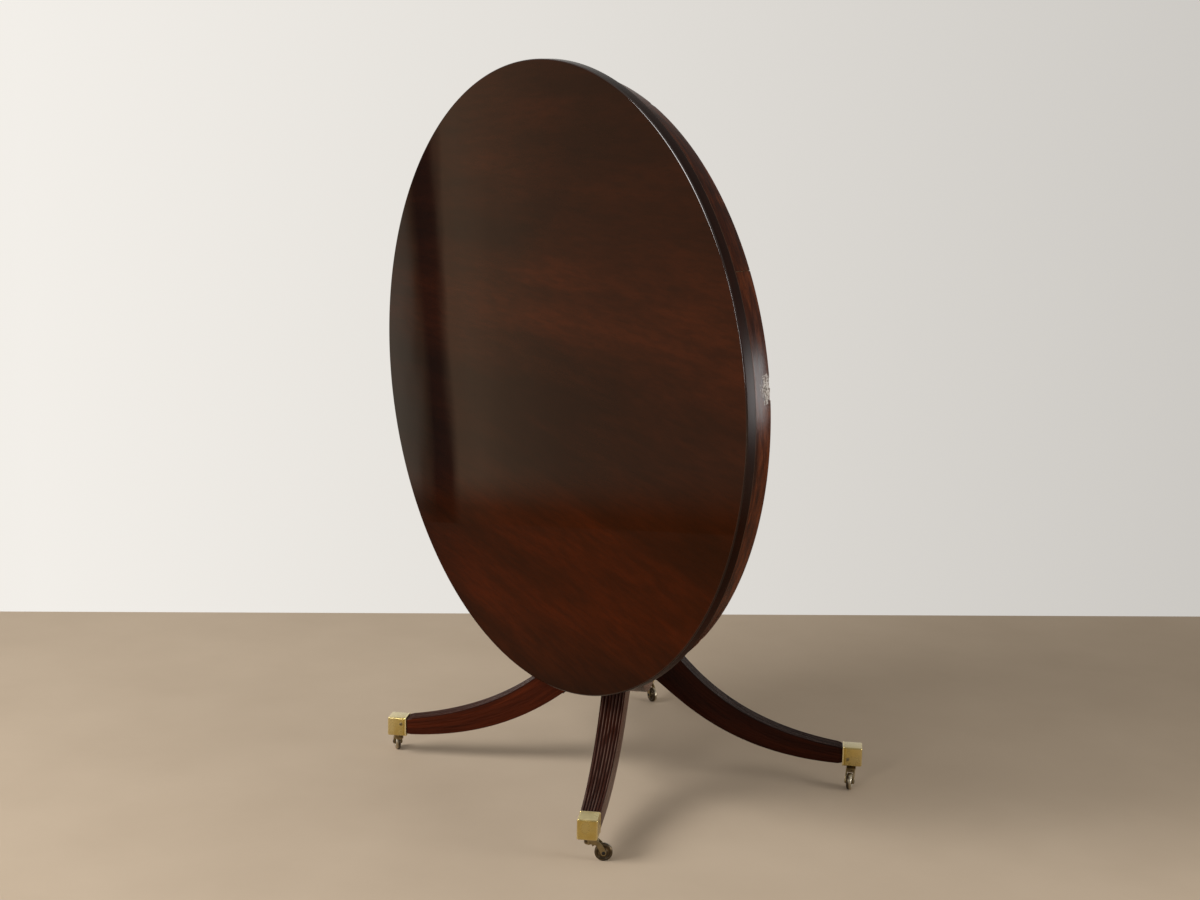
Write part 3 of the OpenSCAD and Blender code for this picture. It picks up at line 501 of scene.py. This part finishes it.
FACE = face_finish()
VENEER = frieze_finish()
TURNED = wood("turned_mahogany", (0.014, 0.005, 0.003), (0.045, 0.012, 0.005),
              (0.080, 0.022, 0.008), (7.0, 7.0, 0.9), roughness=(0.18, 0.28), gloss=0.2,
              figure=1.4, lined=0.35, pores=0.3)
BLOCK = wood("block_mahogany", (0.022, 0.009, 0.005), (0.06, 0.020, 0.009), (0.11, 0.036, 0.014),
             (1.0, 8.0, 8.0), roughness=(0.35, 0.5), gloss=0.3, figure=1.6)
BEARER = wood("bearer_mahogany", (0.03, 0.012, 0.006), (0.08, 0.030, 0.014), (0.13, 0.05, 0.022),
              (9.0, 5.0, 0.8), roughness=(0.4, 0.55), gloss=0.3, figure=1.6, shift=(0.3, 0.2, 0.7))
PINE = wood("old_pine", (0.16, 0.085, 0.035), (0.30, 0.17, 0.075), (0.40, 0.25, 0.12),
            (3.0, 6.0, 3.0), roughness=(0.55, 0.7), gloss=0.3, figure=2.0, pores=0.2, lined=0.3)
BRASS = metal("polished_brass", (0.45, 0.315, 0.055), (0.36, 0.24, 0.038), (0.18, 0.27),
              tarnish=0.2, grain=250.0, depth=0.000004, film_and_top_light=0.2, wear_and_glint_colour=(0.95, 0.80, 0.45),
              mottle=1.0)
OLD_BRASS = metal("old_brass", (0.42, 0.32, 0.16), (0.075, 0.052, 0.030), (0.28, 0.5), tarnish=1.0)
IRON = metal("black_iron", (0.050, 0.046, 0.042), (0.018, 0.016, 0.015), (0.45, 0.65), tarnish=1.0)
STEEL = metal("dull_steel", (0.35, 0.34, 0.32), (0.16, 0.14, 0.12), (0.35, 0.5), tarnish=0.6)


# Board: a disc with a rounded arris, recessed below for the catch plates

board_profile = (
    [(0.0, BOARD_UNDER), (TOP_R - 60, BOARD_UNDER), (TOP_R - UNDER_ARRIS - 0.6, BOARD_UNDER)]
    + arc(TOP_R - UNDER_ARRIS, BOARD_UNDER + UNDER_ARRIS, UNDER_ARRIS, -90, 0, 6)
    + [(TOP_R, BOARD_UNDER + BOARD_T / 2)]
    + arc(TOP_R - FACE_ARRIS, BOARD_UNDER + BOARD_T - FACE_ARRIS, FACE_ARRIS, 0, 90, 8)
    + [(TOP_R - FACE_ARRIS - 0.8, BOARD_UNDER + BOARD_T), (TOP_R - 60, BOARD_UNDER + BOARD_T),
       (0.0, BOARD_UNDER + BOARD_T)]
)
board = piece("board", moved(revolve(board_profile, 360), TIPPED), FACE, "top",
              ["top_board"])
recess = rounded_bar(CATCH[0] + 0.4, CATCH[1] + 0.4, CATCH[2] + 2, 0.3)
bore = revolve([(0, -1), (THUMB_R + 1, -1), (THUMB_R + 1, 15), (0, 15)], 48)
# The bores are cut on their own: where cutters overlap, a wall can stay between them
cut(board, [moved(recess, TIPPED @ Matrix.Translation((
    side * THUMB[0] - CATCH[0] / 2 - 0.2, THUMB[1], BOARD_UNDER - 1.9))) for side in (-1, 1)])
cut(board, [moved(bore, TIPPED @ Matrix.Translation((side * THUMB[0], THUMB[1], BOARD_UNDER)))
            for side in (-1, 1)])


# Frieze: lengths of veneer round a ring of pine bricks, chipped where it has been knocked

# Each chip's bearing and half its width in degrees, and its depth in millimetres
CHIPS = ((6.3, 0.9, 2.6), (4.1, 0.7, 4.0), (-47.0, 1.0, 2.5), (121.0, 1.4, 3.0),
         (-128.0, 0.9, 2.0), (63.0, 0.7, 1.6))


def chipped(bearing):
    """Height lost from the veneer's free edge at a bearing in degrees."""
    lost = 0.0
    for centre, half, depth in CHIPS:
        off = abs((bearing - centre + 180) % 360 - 180) / half
        if off < 1:
            rag = 0.7 + 0.3 * math.sin(bearing * 9.0) * math.sin(bearing * 4.0 + 1)
            lost = max(lost, depth * rag * math.sqrt(1 - off * off))
    return lost


def veneer_length(start, end, steps=500):
    """A length of veneer between two bearings in degrees."""
    low, high = BOARD_UNDER - FRIEZE_H, BOARD_UNDER
    rings = []
    for i in range(steps + 1):
        bearing = start + (end - start) * i / steps
        a = math.radians(bearing)
        edge = low + chipped(bearing)
        section = [(FRIEZE_R - VENEER_T, edge), (FRIEZE_R - 0.7, edge),
                   (FRIEZE_R - 0.2, edge + 0.25), (FRIEZE_R, edge + 0.8),
                   (FRIEZE_R, (edge + high) / 2), (FRIEZE_R, high - 0.02),
                   (FRIEZE_R - VENEER_T, high - 0.02)]
        rings.append([(r * math.cos(a), r * math.sin(a), z) for r, z in section])
    return loft(rings)


JOINT = 0.07  # degrees by which each end of a length stops short of the joint
for k in range(4):
    start = VENEER_TURN + 90 * k
    piece(f"veneer_{k + 1}", moved(veneer_length(start + JOINT, start + 90 - JOINT), TIPPED),
          VENEER, "top", ["frieze_veneer"] if k == 0 else ())
for node in ("frieze_bricks", "glue_blocks"):
    dress(node, PINE, bevel=0.6)


# Legs: the section is reeded above and rounded at its lower arrises

UPPER = ((DRUM_FLAT, ROOT_TOP), (108.0, 281.5), (MOUTH_R - 281.0, 120.4), (MOUTH_R, 83.4))
LOWER = ((DRUM_FLAT, ROOT_LOW), (105.0, 185.0), (MOUTH_R - 251.0, 55.0), (MOUTH_R, 48.5))
ROOT_W = 50.5
END_W = 37.0
REEDS = 7
REED_STEPS = 8
REED_H = 2.0
REED_FROM = 12  # points of a section before its first reed


def leg_section(width, height):
    """Points round a leg, from the lower left: the underside, the right side, reeds and left."""
    r = 2.5
    half = width / 2
    points = arc(r - half, r, r, 180, 270, 4) + arc(half - r, r, r, 270, 360, 4)
    points += [(half, r + (height - REED_H - r) * i / 3) for i in (1, 2)]
    for i in range(REEDS * REED_STEPS + 1):
        swell = math.sin(math.pi * (i % REED_STEPS) / REED_STEPS)
        points.append((half - width * i / (REEDS * REED_STEPS), height - REED_H + REED_H * swell))
    points += [(-half, r + (height - REED_H - r) * i / 3) for i in (2, 1)]
    return points


def leg_shape(stations=80):
    rings = []
    for j in range(stations + 1):
        (x0, z0), (x1, z1) = bezier(LOWER, j / stations), bezier(UPPER, j / stations)
        ease = 1.0
        if j == stations:
            # The end face is a little smaller and stops short of the cap's mouth
            x0 = x1 = MOUTH_R - 1.2
            ease = 0.93
        width = ROOT_W + (END_W - ROOT_W) * (x1 - DRUM_FLAT) / (MOUTH_R - DRUM_FLAT)
        h = math.hypot(x1 - x0, z1 - z0)
        ux, uz = (x1 - x0) / h, (z1 - z0) / h
        section = [(y * ease, h / 2 + (up - h / 2) * ease) for y, up in leg_section(width, h)]
        rings.append([(x0 + ux * up, y, z0 + uz * up) for y, up in section])
    return loft(rings)


def leg_finish(name, shade):
    """Red-brown sides, and darker, glossier reeds, with painted shade between them and painted
    highlights along their crests.
    """
    start, end, whole = (sum(LEG_GIRTH[:i]) * MM for i in (REED_FROM, REED_TO, len(LEG_GIRTH)))
    s = Shader(name)
    where = s.coords("UV", scale=(1.0, 9.0, 1.0))
    broad = s.noise(where, 2.3, detail=4, rough=0.5, distortion=0.6)
    streaks = s.noise(where, 11.7, detail=6, rough=0.62, distortion=0.25)
    fine = s.noise(where, 75.0, detail=3, rough=0.6)

    def tone(*colour):
        return tuple(c * shade for c in colour)

    base = s.ramp(s.blend(broad, streaks), [
        (0.36, tone(0.028, 0.0052, 0.0020)), (0.5, tone(0.058, 0.0098, 0.0028)),
        (0.62, tone(0.092, 0.0150, 0.0038))])
    base = s.mix(s.ramp(fine, [(0.38, 0.35), (0.62, 0.0)]), base, tone(0.013, 0.003, 0.0014))

    # The reeds are found by the distance round the leg
    girth = s.axes(s.coords("UV"))[1]
    first, last = start / whole, end / whole
    reeds = s.ramp(s.times(girth, 1 / whole), [
        (first - 0.004, 0.0), (first, 1.0), (last, 1.0), (last + 0.004, 0.0)])
    turn = s.math("FRACT", s.times(s.minus(girth, start), REEDS / (end - start)))
    off = s.math("ABSOLUTE", s.minus(turn, 0.5))
    # The valleys are painted darker, as painted shade, and the crests lighter, as painted
    # highlights.
    valley_shade = s.ramp(off, [(0.34, 0.0), (0.48, 1.0)])
    crest_highlight = s.times(s.ramp(off, [(0.04, 1.0), (0.10, 0.0)]),
                    s.ramp(streaks, [(0.42, 0.08), (0.56, 0.7)]))
    base = s.mix(s.times(reeds, 0.58), base, tone(0.012, 0.0034, 0.0019))
    base = s.mix(s.times(reeds, valley_shade), base, tone(0.004, 0.0018, 0.0012))
    base = s.mix(s.times(reeds, crest_highlight), base, (0.19, 0.13, 0.10))
    gloss = s.ramp(s.minus(reeds, s.times(valley_shade, 0.5)), [(0.0, 0.08), (1.0, 0.11)])
    rough = s.minus(s.ramp(streaks, [(0.3, 0.24), (0.7, 0.32)]), s.times(reeds, 0.17))
    return s.finish(base, rough, fine, 0.00008, **{"Specular IOR Level": gloss})


# Box caps: a cast box with a raised band at its mouth

def cap_shape():
    out, wall, band, r = CAP_W / 2, 2.0, 0.5, 3.0
    length = FOOT_R - MOUTH_R
    # Each station: how far from the mouth, how far outside the box, and the corners' radius
    stations = [
        (8.0, -wall, 1.0), (0.4, -wall, 1.0), (0.0, -wall + 0.4, 1.0), (0.0, band - 0.5, 2.6),
        (0.15, band - 0.15, 2.9), (0.5, band, r), (2.6, band, r), (2.9, band - 0.12, r),
        (3.05, band - 0.4, r), (3.3, 0.0, r), (6.0, 0.0, r)]
    stations += [(length - r + r * math.sin(a), r * math.cos(a) - r, max(r * math.cos(a), 0.05))
                 for a in (math.radians(15 * i) for i in range(7))]
    return loft([round_rect(MOUTH_R + x, out + grow, CAP_Z - grow, CAP_TOP + grow, corner, 5)
                 for x, grow, corner in stations])


def screw_head(r, height, slot_w):
    """A low domed head with a slot, pointing up from the XY plane."""
    half, steps = slot_w / 2, 24
    shapes = []
    for side in (1, -1):
        start = math.degrees(math.asin(half / r))
        rim = arc(0, 0, r, start, 180 - start, steps)
        levels = []
        for shrink, z in ((1.0, -0.4), (1.0, height * 0.45), (0.86, height * 0.8), (0.6, height)):
            levels.append([(x * shrink, side * max(y * shrink, half), z) for x, y in rim])
        points = [p for level in levels for p in level]
        n, last = steps + 1, len(levels) - 1
        faces = [[j * n + i, j * n + i + 1, (j + 1) * n + i + 1, (j + 1) * n + i]
                 for j in range(last) for i in range(steps)]
        faces.append([last * n + i for i in range(n)])
        faces.append([j * n for j in range(last + 1)]
                     + [j * n + n - 1 for j in range(last, -1, -1)])
        shapes.append((points, faces if side == 1 else [f[::-1] for f in faces]))
    shapes.append(revolve([(0, height * 0.25), (r * 0.97, height * 0.25), (r * 0.97, -0.4)], 32))
    return merged(shapes)


LEG_RING = leg_section(ROOT_W, ROOT_TOP - ROOT_LOW)
LEG_GIRTH = [math.dist(a, b) for a, b in zip(LEG_RING, LEG_RING[1:] + LEG_RING[:1])]
REED_TO = REED_FROM + REEDS * REED_STEPS
# One leg finish in two copies: the second is darkened as painted shade, for the leg in the top's
# shadow.
LEG = leg_finish("leg_mahogany", 1.15)
SHADED_LEG = leg_finish("leg_mahogany_painted_shade", 0.42)
leg = leg_shape()
TONGUE = (440, 0, 51)  # where the tongue inside the cap starts
tongue = rounded_bar(MOUTH_R - TONGUE[0] + 8, 33.0, 30.0, 0.5)
cap = cap_shape()
for name, angle in zip(SIDES, LEG_ANGLES):
    turn = Matrix.Rotation(angle, 4, "Z")
    # The right leg takes the darkened copy: painted shade.
    lit_or_shaded_leg = SHADED_LEG if name == "right" else LEG
    piece(f"leg_wood_{name}", moved(leg, turn), lit_or_shaded_leg, "pedestal",
          [f"leg_{name}"], sharp=30)
    piece(f"leg_tongue_{name}", moved(tongue, turn @ Matrix.Translation(TONGUE)), lit_or_shaded_leg,
          "pedestal")
    piece(f"box_cap_{name}", moved(cap, turn), BRASS, "pedestal", [f"cap_{name}"],
          sharp=50)

cap_screw = screw_head(2.9, 0.9, 0.9)
cap_seat = revolve([(0, -0.3), (3.35, -0.3), (3.35, 0.06), (0, 0.06)], 32)
heads, seats = [], []
for index, angle in enumerate(LEG_ANGLES):
    for side, z in ((1, CAP_TOP - 13.5), (-1, CAP_TOP - 25.0)):
        place = (Matrix.Rotation(angle, 4, "Z")
                 @ Matrix.Translation((MOUTH_R + 11, side * CAP_W / 2, z))
                 @ Matrix.Rotation(-side * math.pi / 2, 4, "X")
                 @ Matrix.Rotation(0.7 + index + side, 4, "Z"))
        heads.append(moved(cap_screw, place))
        seats.append(moved(cap_seat, place))
piece("cap_screw_heads", merged(heads), OLD_BRASS, "pedestal", ["cap_screws"])
piece("cap_screw_seats", merged(seats), IRON, "pedestal")


# Castors: a horned fork on a boss, an axle and a turned wheel

SPINE = ((-1.0, FORK_TOP - 6.5), (8.0, FORK_TOP - 6.0), (19.0, FORK_TOP - 4.0), (TRAIL, WHEEL_R))


def horn(inset, reach=1.0, clear=0.0, steps=26):
    """Side outline of an arm, from the boss to the eye round the axle.

    inset draws it smaller, reach ends it early, and clear is the radius kept free for the wheel.
    """
    upper, lower = [], []
    for i in range(steps + 1):
        t = reach * i / steps
        x, z = bezier(SPINE, t)
        ahead, behind = bezier(SPINE, min(t + 0.01, 1)), bezier(SPINE, max(t - 0.01, 0))
        dx, dz = ahead[0] - behind[0], ahead[1] - behind[1]
        size = math.hypot(dx, dz)
        nx, nz = -dz / size, dx / size
        r = (6.2 - 2.2 * math.sin(math.pi * min(t * 1.15, 1)) * 0.6 - 1.0 * t) - inset
        under = r
        if clear:
            fuller = 6 * min(1, max(0, (t - 0.22) / 0.2))
            under = min(r + fuller, math.hypot(x - TRAIL, z - WHEEL_R) - clear - inset)
        upper.append((x + nx * r, z + nz * r))
        lower.append((x - nx * under, z - nz * under))
    tail = []
    if reach == 1.0:
        (x, z), r = SPINE[3], 5.2 - inset
        start = math.degrees(math.atan2(upper[-1][1] - z, upper[-1][0] - x))
        end = math.degrees(math.atan2(lower[-1][1] - z, lower[-1][0] - x))
        if end > start:
            end -= 360
        tail = arc(x, z, r, start, end, 14)[1:-1]
    return upper + tail + lower[::-1]


def wheel_metal():
    """Dark brass, bright on the tread from wear and from a painted highlight."""
    s = Shader("wheel_brass")
    where = s.coords("Object")
    patches = s.noise(where, 60.0, detail=5, rough=0.65)
    along = s.axes(s.coords("UV"))[1]
    # The tread is painted bright: partly wear, partly a painted highlight.
    tread = s.ramp(s.times(along, 1 / WHEEL_PATH), [
        (0.36, 0.0), (0.42, 1.0), (0.58, 1.0), (0.64, 0.0)])
    dark = s.mix(s.ramp(patches, [(0.35, 0.0), (0.6, 1.0)]),
                 (0.16, 0.115, 0.065), (0.06, 0.045, 0.03))
    wear_and_glint_colour = s.mix(s.ramp(patches, [(0.4, 0.0), (0.7, 1.0)]),
                 (0.60, 0.54, 0.42), (0.34, 0.27, 0.17))
    rough = s.ramp(patches, [(0.3, 0.28), (0.7, 0.48)])
    return s.finish(s.mix(tread, dark, wear_and_glint_colour), rough, patches, 0.00005, Metallic=1.0)


def slab(outline, low, high, edge=0.6):
    """A plate across Y between low and high, with rounded rims. outline(inset) gives its side."""
    levels = [(low, edge), (low + 0.3 * edge, 0.3 * edge), (low + edge, 0.0),
              (high - edge, 0.0), (high - 0.3 * edge, 0.3 * edge), (high, edge)]
    return loft([[(x, y, z) for x, z in outline(inset)] for y, inset in levels])


arm_in = FORK_W / 2 - ARM_T
fork = merged([
    slab(horn, arm_in, arm_in + ARM_T),
    slab(horn, -arm_in - ARM_T, -arm_in),
    slab(lambda inset: horn(inset, reach=0.6, clear=WHEEL_R + 1), -arm_in - 0.3, arm_in + 0.3),
    revolve([(r, FORK_TOP + up) for r, up in (
        (0, -12.6), (5.5, -12.6), (7.0, -12.2), (7.6, -11), (7.6, -4.2), (8.2, -3.6), (9.0, -3.0),
        (9.0, -0.5), (8.5, 0), (4.0, 0), (4.0, 3), (0, 3))], 48),
])
AXLE_TURN = Matrix.Translation((TRAIL, 0, WHEEL_R)) @ Matrix.Rotation(math.pi / 2, 4, "X")
axle_end = FORK_W / 2
axle = moved(revolve(
    [(0, -axle_end - 1.1), (2.4, -axle_end - 1.0), (3.2, -axle_end - 0.6), (3.5, -axle_end),
     (2.45, -axle_end), (2.45, axle_end), (3.5, axle_end), (3.2, axle_end + 0.6),
     (2.4, axle_end + 1.0), (0, axle_end + 1.1)], 32), AXLE_TURN)
half_wheel = ([(2.55, 6.0), (5.2, 6.0), (5.9, 5.5), (6.1, 4.6), (6.6, 3.6), (7.6, 3.2), (10.6, 3.2),
               (11.3, 3.6), (11.7, 4.6), (12.2, 5.1), (13.3, 5.25)]
              + arc(WHEEL_R - 3.2, 2.05, 3.2, 86, 8, 7) + [(WHEEL_R, 0.9)])
wheel_profile = half_wheel + [(r, -y) for r, y in reversed(half_wheel)] + [half_wheel[0]]
WHEEL_PATH = sum(math.dist(a, b) for a, b in zip(wheel_profile, wheel_profile[1:])) * MM
WHEEL = wheel_metal()
wheel = moved(revolve(wheel_profile, 96), AXLE_TURN)

for name, leg_angle, turn in zip(SIDES, LEG_ANGLES, CASTOR_ANGLES):
    place = (Matrix.Rotation(leg_angle, 4, "Z") @ Matrix.Translation((SWIVEL_R, 0, 0))
             @ Matrix.Rotation(turn - leg_angle, 4, "Z"))
    piece(f"fork_{name}", moved(fork, place), OLD_BRASS, f"castor_{name}",
          [f"castor_fork_{name}"], sharp=40)
    piece(f"axle_{name}", moved(axle, place), IRON, f"castor_{name}",
          [f"castor_axle_{name}"])
    piece(f"wheel_turned_{name}", moved(wheel, place), WHEEL, f"wheel_{name}",
          [f"castor_wheel_{name}"], sharp=50)


# Pillar: a drum, two beads, a vase, a slender shaft, a ring, a cove and a bead

drum_top, vase_h, neck = ROOT_TOP + 16, 160.0, 25.0
vase_z = drum_top + 30
shaft_z = vase_z + vase_h
cove_z = BLOCK_LOW - 38
ring_z = cove_z - 13.5
pillar_profile = (
    [(0, ROOT_LOW), (58, ROOT_LOW)] + arc(58, ROOT_LOW + 4, 4, -90, 0, 6)
    + arc(58, drum_top - 4, 4, 0, 90, 6) + arc(48, drum_top + 7, 7, -90, 90, 14)
    + [(44, drum_top + 17)] + arc(44, drum_top + 22, 5, -90, 90, 12) + [(38, drum_top + 27)]
    + [bezier(((neck + 6, vase_z), (neck + 3, vase_z + 40), (43 * 1.55, vase_z + vase_h / 3),
               (neck + 3, shaft_z)), i / 48) for i in range(49)]
    + [bezier(((neck + 3, shaft_z), (neck, shaft_z + 16), (neck, ring_z - 20), (neck, ring_z)),
              i / 20) for i in range(1, 21)]
    + arc(neck + 3, ring_z + 6, 6, -90, 90, 12)
    + [bezier(((neck + 3, cove_z), (neck + 3, cove_z + 18.2), (32, cove_z + 26),
               (44, cove_z + 26)), i / 16) for i in range(17)]
    + arc(44, BLOCK_LOW - 6, 6, -90, 90, 12)
    + [(23, BLOCK_LOW), (23, BLOCK_TOP - 1), (0, BLOCK_TOP - 1)]
)
piece("turned_pillar", revolve(pillar_profile, 144), TURNED, "pedestal",
      ["pillar"], sharp=40)


# Thumbscrews: a shank with a fine thread, a shoulder and a ring

def thumbscrew():
    plate, gap, lift, pitch = 2.5, 0.4, 14, 1.25
    tip, neck_z = BLOCK_TOP - 1, BLOCK_LOW - plate - gap - lift
    thread = []
    z = neck_z + 1
    while z < tip - 4:
        thread += [(THUMB_R, z), (THUMB_R, z + 0.35), (THUMB_R - 0.5, z + 0.7),
                   (THUMB_R - 0.5, z + 0.85)]
        z += pitch
    shank = revolve([(0, neck_z - 4), (7, neck_z - 4), (8, neck_z - 3), (8, neck_z - 1),
                     (7, neck_z), (THUMB_R, neck_z)] + thread
                    + [(THUMB_R, tip - 3), (THUMB_R - 2, tip), (0, tip)], 36)
    ring_r, wire_r, flatter = 11.25, 3.75, 0.55
    ring = revolve(arc(ring_r, 0, wire_r, 0, 360, 16)[:-1] + [(ring_r + wire_r, 0)], 64)
    ring = ([(x, y, z * flatter) for x, y, z in ring[0]], ring[1])
    place = (Matrix.Translation((0, 0, neck_z - 4 - 13))
             @ Matrix.Rotation(math.pi / 2, 4, "X"))
    return merged([shank, moved(ring, place)])


screw_shape = thumbscrew()
for side, word in ((-1, "left"), (1, "right")):
    place = Matrix.Translation((side * THUMB[0], THUMB[1], 0))
    piece(f"thumb_{word}", moved(screw_shape, place), BRASS, f"screw_{word}",
          [f"thumbscrew_{word}"])


# Everything else keeps its CAD shape

for node in ("bearer_left", "bearer_right"):
    dress(node, BEARER, bevel=1.2)
dress("tilt_block", BLOCK, bevel=1.5)
dress("tenon_wedge", PINE)
dress("leg_plate", IRON, bevel=0.4)
for node in ("bearer_screws", "catch_plate_screws", "escutcheon_screws", "leg_plate_screws",
             "pivot_pin_left", "pivot_pin_right"):
    dress(node, STEEL)
for node in ("catch_plate_left", "catch_plate_right", "escutcheon_left", "escutcheon_right"):
    dress(node, BRASS, bevel=0.3)


# Stage: a pale floor, a soft room round it and soft lamps

def soft_room():
    """A room all round, pale behind the table and dim beside it, with a doorway to the left.

    Bearings are in degrees from -Y, towards +X. Heights are in degrees above the horizon.
    """
    world = bpy.data.worlds.new("room")
    world.use_nodes = True
    bpy.context.scene.world = world
    s = Shader("room", world.node_tree)
    x, y, z = s.axes(s.node("ShaderNodeTexCoord").outputs["Generated"])
    bearing = s.plus(s.math("DIVIDE", s.math("ARCTAN2", x, s.times(y, -1)), math.tau), 0.5)
    height = s.plus(s.math("DIVIDE", s.math("ARCSINE", z), math.pi), 0.5)

    def round_ramp(*stops):
        return s.ramp(bearing, [(degrees / 360 + 0.5, value) for degrees, value in stops])

    def tall_ramp(*stops):
        return s.ramp(height, [(degrees / 180 + 0.5, value) for degrees, value in stops])

    wall = round_ramp(
        (-180, 0.5), (-160, 0.46), (-146, 0.60), (-106, 0.90), (-84, 0.44), (-60, 0.30),
        (10, 0.17), (80, 0.15), (108, 0.23), (125, 0.34), (155, 0.45), (178, 0.5))
    ceiling = tall_ramp((-90, 0.0), (15, 0.0), (45, 1.0))
    # Below the horizon the room is warmer, but for the wall that the camera sees
    ground = s.times(tall_ramp((-4, 1.0), (-1, 0.0)),
                     round_ramp((-168, 1.0), (-155, 0.0), (-98, 0.0), (-90, 1.0)))
    wall = s.mix(ground, wall, s.mix(1.0, wall, (1.0, 0.84, 0.66), "MULTIPLY"))
    shell = s.mix(ceiling, wall, (0.36, 0.36, 0.36))

    # What the doorway shows has a ramp of its own over 20 degrees, fine enough for its edges
    seen_from, seen_span = -66, 20
    door = round_ramp((-90, 0.0), (-76, 1.0), (-38, 1.0), (-24, 0.0))
    lintel = tall_ramp((5, 1.0), (14, 0.0))
    across = s.times(s.minus(bearing, seen_from / 360 + 0.5), 360 / seen_span)
    seen = s.ramp(across, [((degrees - seen_from) / seen_span, colour) for degrees, colour in (
        (-65.0, (0.52, 0.46, 0.38)), (-62.6, (1.15, 1.02, 0.85)), (-61.9, (1.10, 0.98, 0.82)),
        (-61.4, (0.80, 0.68, 0.55)), (-61.05, (0.40, 0.29, 0.21)), (-60.85, (0.07, 0.08, 0.09)),
        (-60.32, (0.07, 0.08, 0.09)), (-59.98, (1.06, 0.76, 0.53)), (-59.4, (1.04, 0.80, 0.57)),
        (-58.4, (0.80, 0.64, 0.46)), (-56.3, (0.56, 0.46, 0.34)), (-54.3, (0.52, 0.42, 0.31)),
        (-50, (0.45, 0.38, 0.29)))])
    sill = tall_ramp((-15.5, 0.0), (-13.5, 1.0))
    panel = s.mix(sill, (0.40, 0.32, 0.24), seen)
    colour = s.mix(s.times(door, lintel), shell, panel)
    tinted = s.mix(1.0, colour, (1.0, 0.965, 0.91), blend="MULTIPLY")
    background = s.node("ShaderNodeBackground", {"Color": tinted, "Strength": 1.0})
    s.node("ShaderNodeOutputWorld", {"Surface": background.outputs[0]})


def area_lamp(name, at, target, size, power, spread=180):
    """A lamp of so many watts that only lights, with its sizes and places in metres."""
    data = bpy.data.lights.new(name, "AREA")
    data.shape = "RECTANGLE"
    data.size, data.size_y = size
    data.energy = power
    data.spread = math.radians(spread)
    lamp = new_object(name, data)
    lamp.location = at
    lamp.visible_camera = False
    lamp.rotation_euler = (Vector(target) - Vector(at)).to_track_quat("-Z", "Y").to_euler()


# Level directions to the right of the picture and away from the camera
RIGHTWARD = Vector((0.5831, 0.8124, 0))
AWAY = Vector((-0.8124, 0.5831, 0))


def pale_floor():
    """A floor that ends where the photo's floor meets its wall."""
    s = Shader("pale_floor")
    speckle = s.noise(s.coords("Object"), 3.0, detail=5)
    colour = s.ramp(speckle, [(0.3, (0.50, 0.395, 0.288)), (0.7, (0.54, 0.43, 0.316))])
    material = s.finish(colour, 0.8, **{"Specular IOR Level": 0.15})
    corners = [(-2.0, -6.0), (6.0, -6.0), (6.0, 1.5784), (-2.0, 1.0767)]
    mesh = bpy.data.meshes.new("floor")
    mesh.from_pydata([tuple(RIGHTWARD * r + AWAY * f) for r, f in corners], [], [(0, 1, 2, 3)])
    mesh.materials.append(material)
    floor = new_object("floor", mesh)


soft_room()
pale_floor()
area_lamp("key", (-0.9, -4.0, 3.0), (0, 0, 0.5), (2.2, 2.2), 178)
area_lamp("window", (1.7, -3.6, 1.5), (0.4, -0.2, 0.9), (0.35, 1.8), 26)
area_lamp("far_window", (2.8, 1.8, 0.92), (0.6, -0.2, 0.86), (1.2, 1.05), 15, spread=100)

# Camera, solved from the photograph: 51 mm on a 36 mm sensor, turned a little clockwise
PHOTO_W = 1200
FOCAL = 1700.84  # in pixels of the photograph
CAMERA_AT = (2.7081, -2.0143, 1.2596)
ROLL = math.radians(1.2)
ahead = Vector((-0.80032, 0.57443, -0.17178)).normalized()
right = RIGHTWARD.normalized()
up = right.cross(ahead)
right, up = (right * math.cos(ROLL) + up * math.sin(ROLL),
             up * math.cos(ROLL) - right * math.sin(ROLL))
camera_data = bpy.data.cameras.new("camera")
camera_data.sensor_width = 36
camera_data.lens = camera_data.sensor_width * FOCAL / PHOTO_W
camera = new_object("camera", camera_data)
camera.matrix_world = Matrix.Translation(CAMERA_AT) @ Matrix(
    (right, up, -ahead)).transposed().to_4x4()
bpy.context.scene.camera = camera
bpy.context.scene.view_settings.view_transform = "Standard"
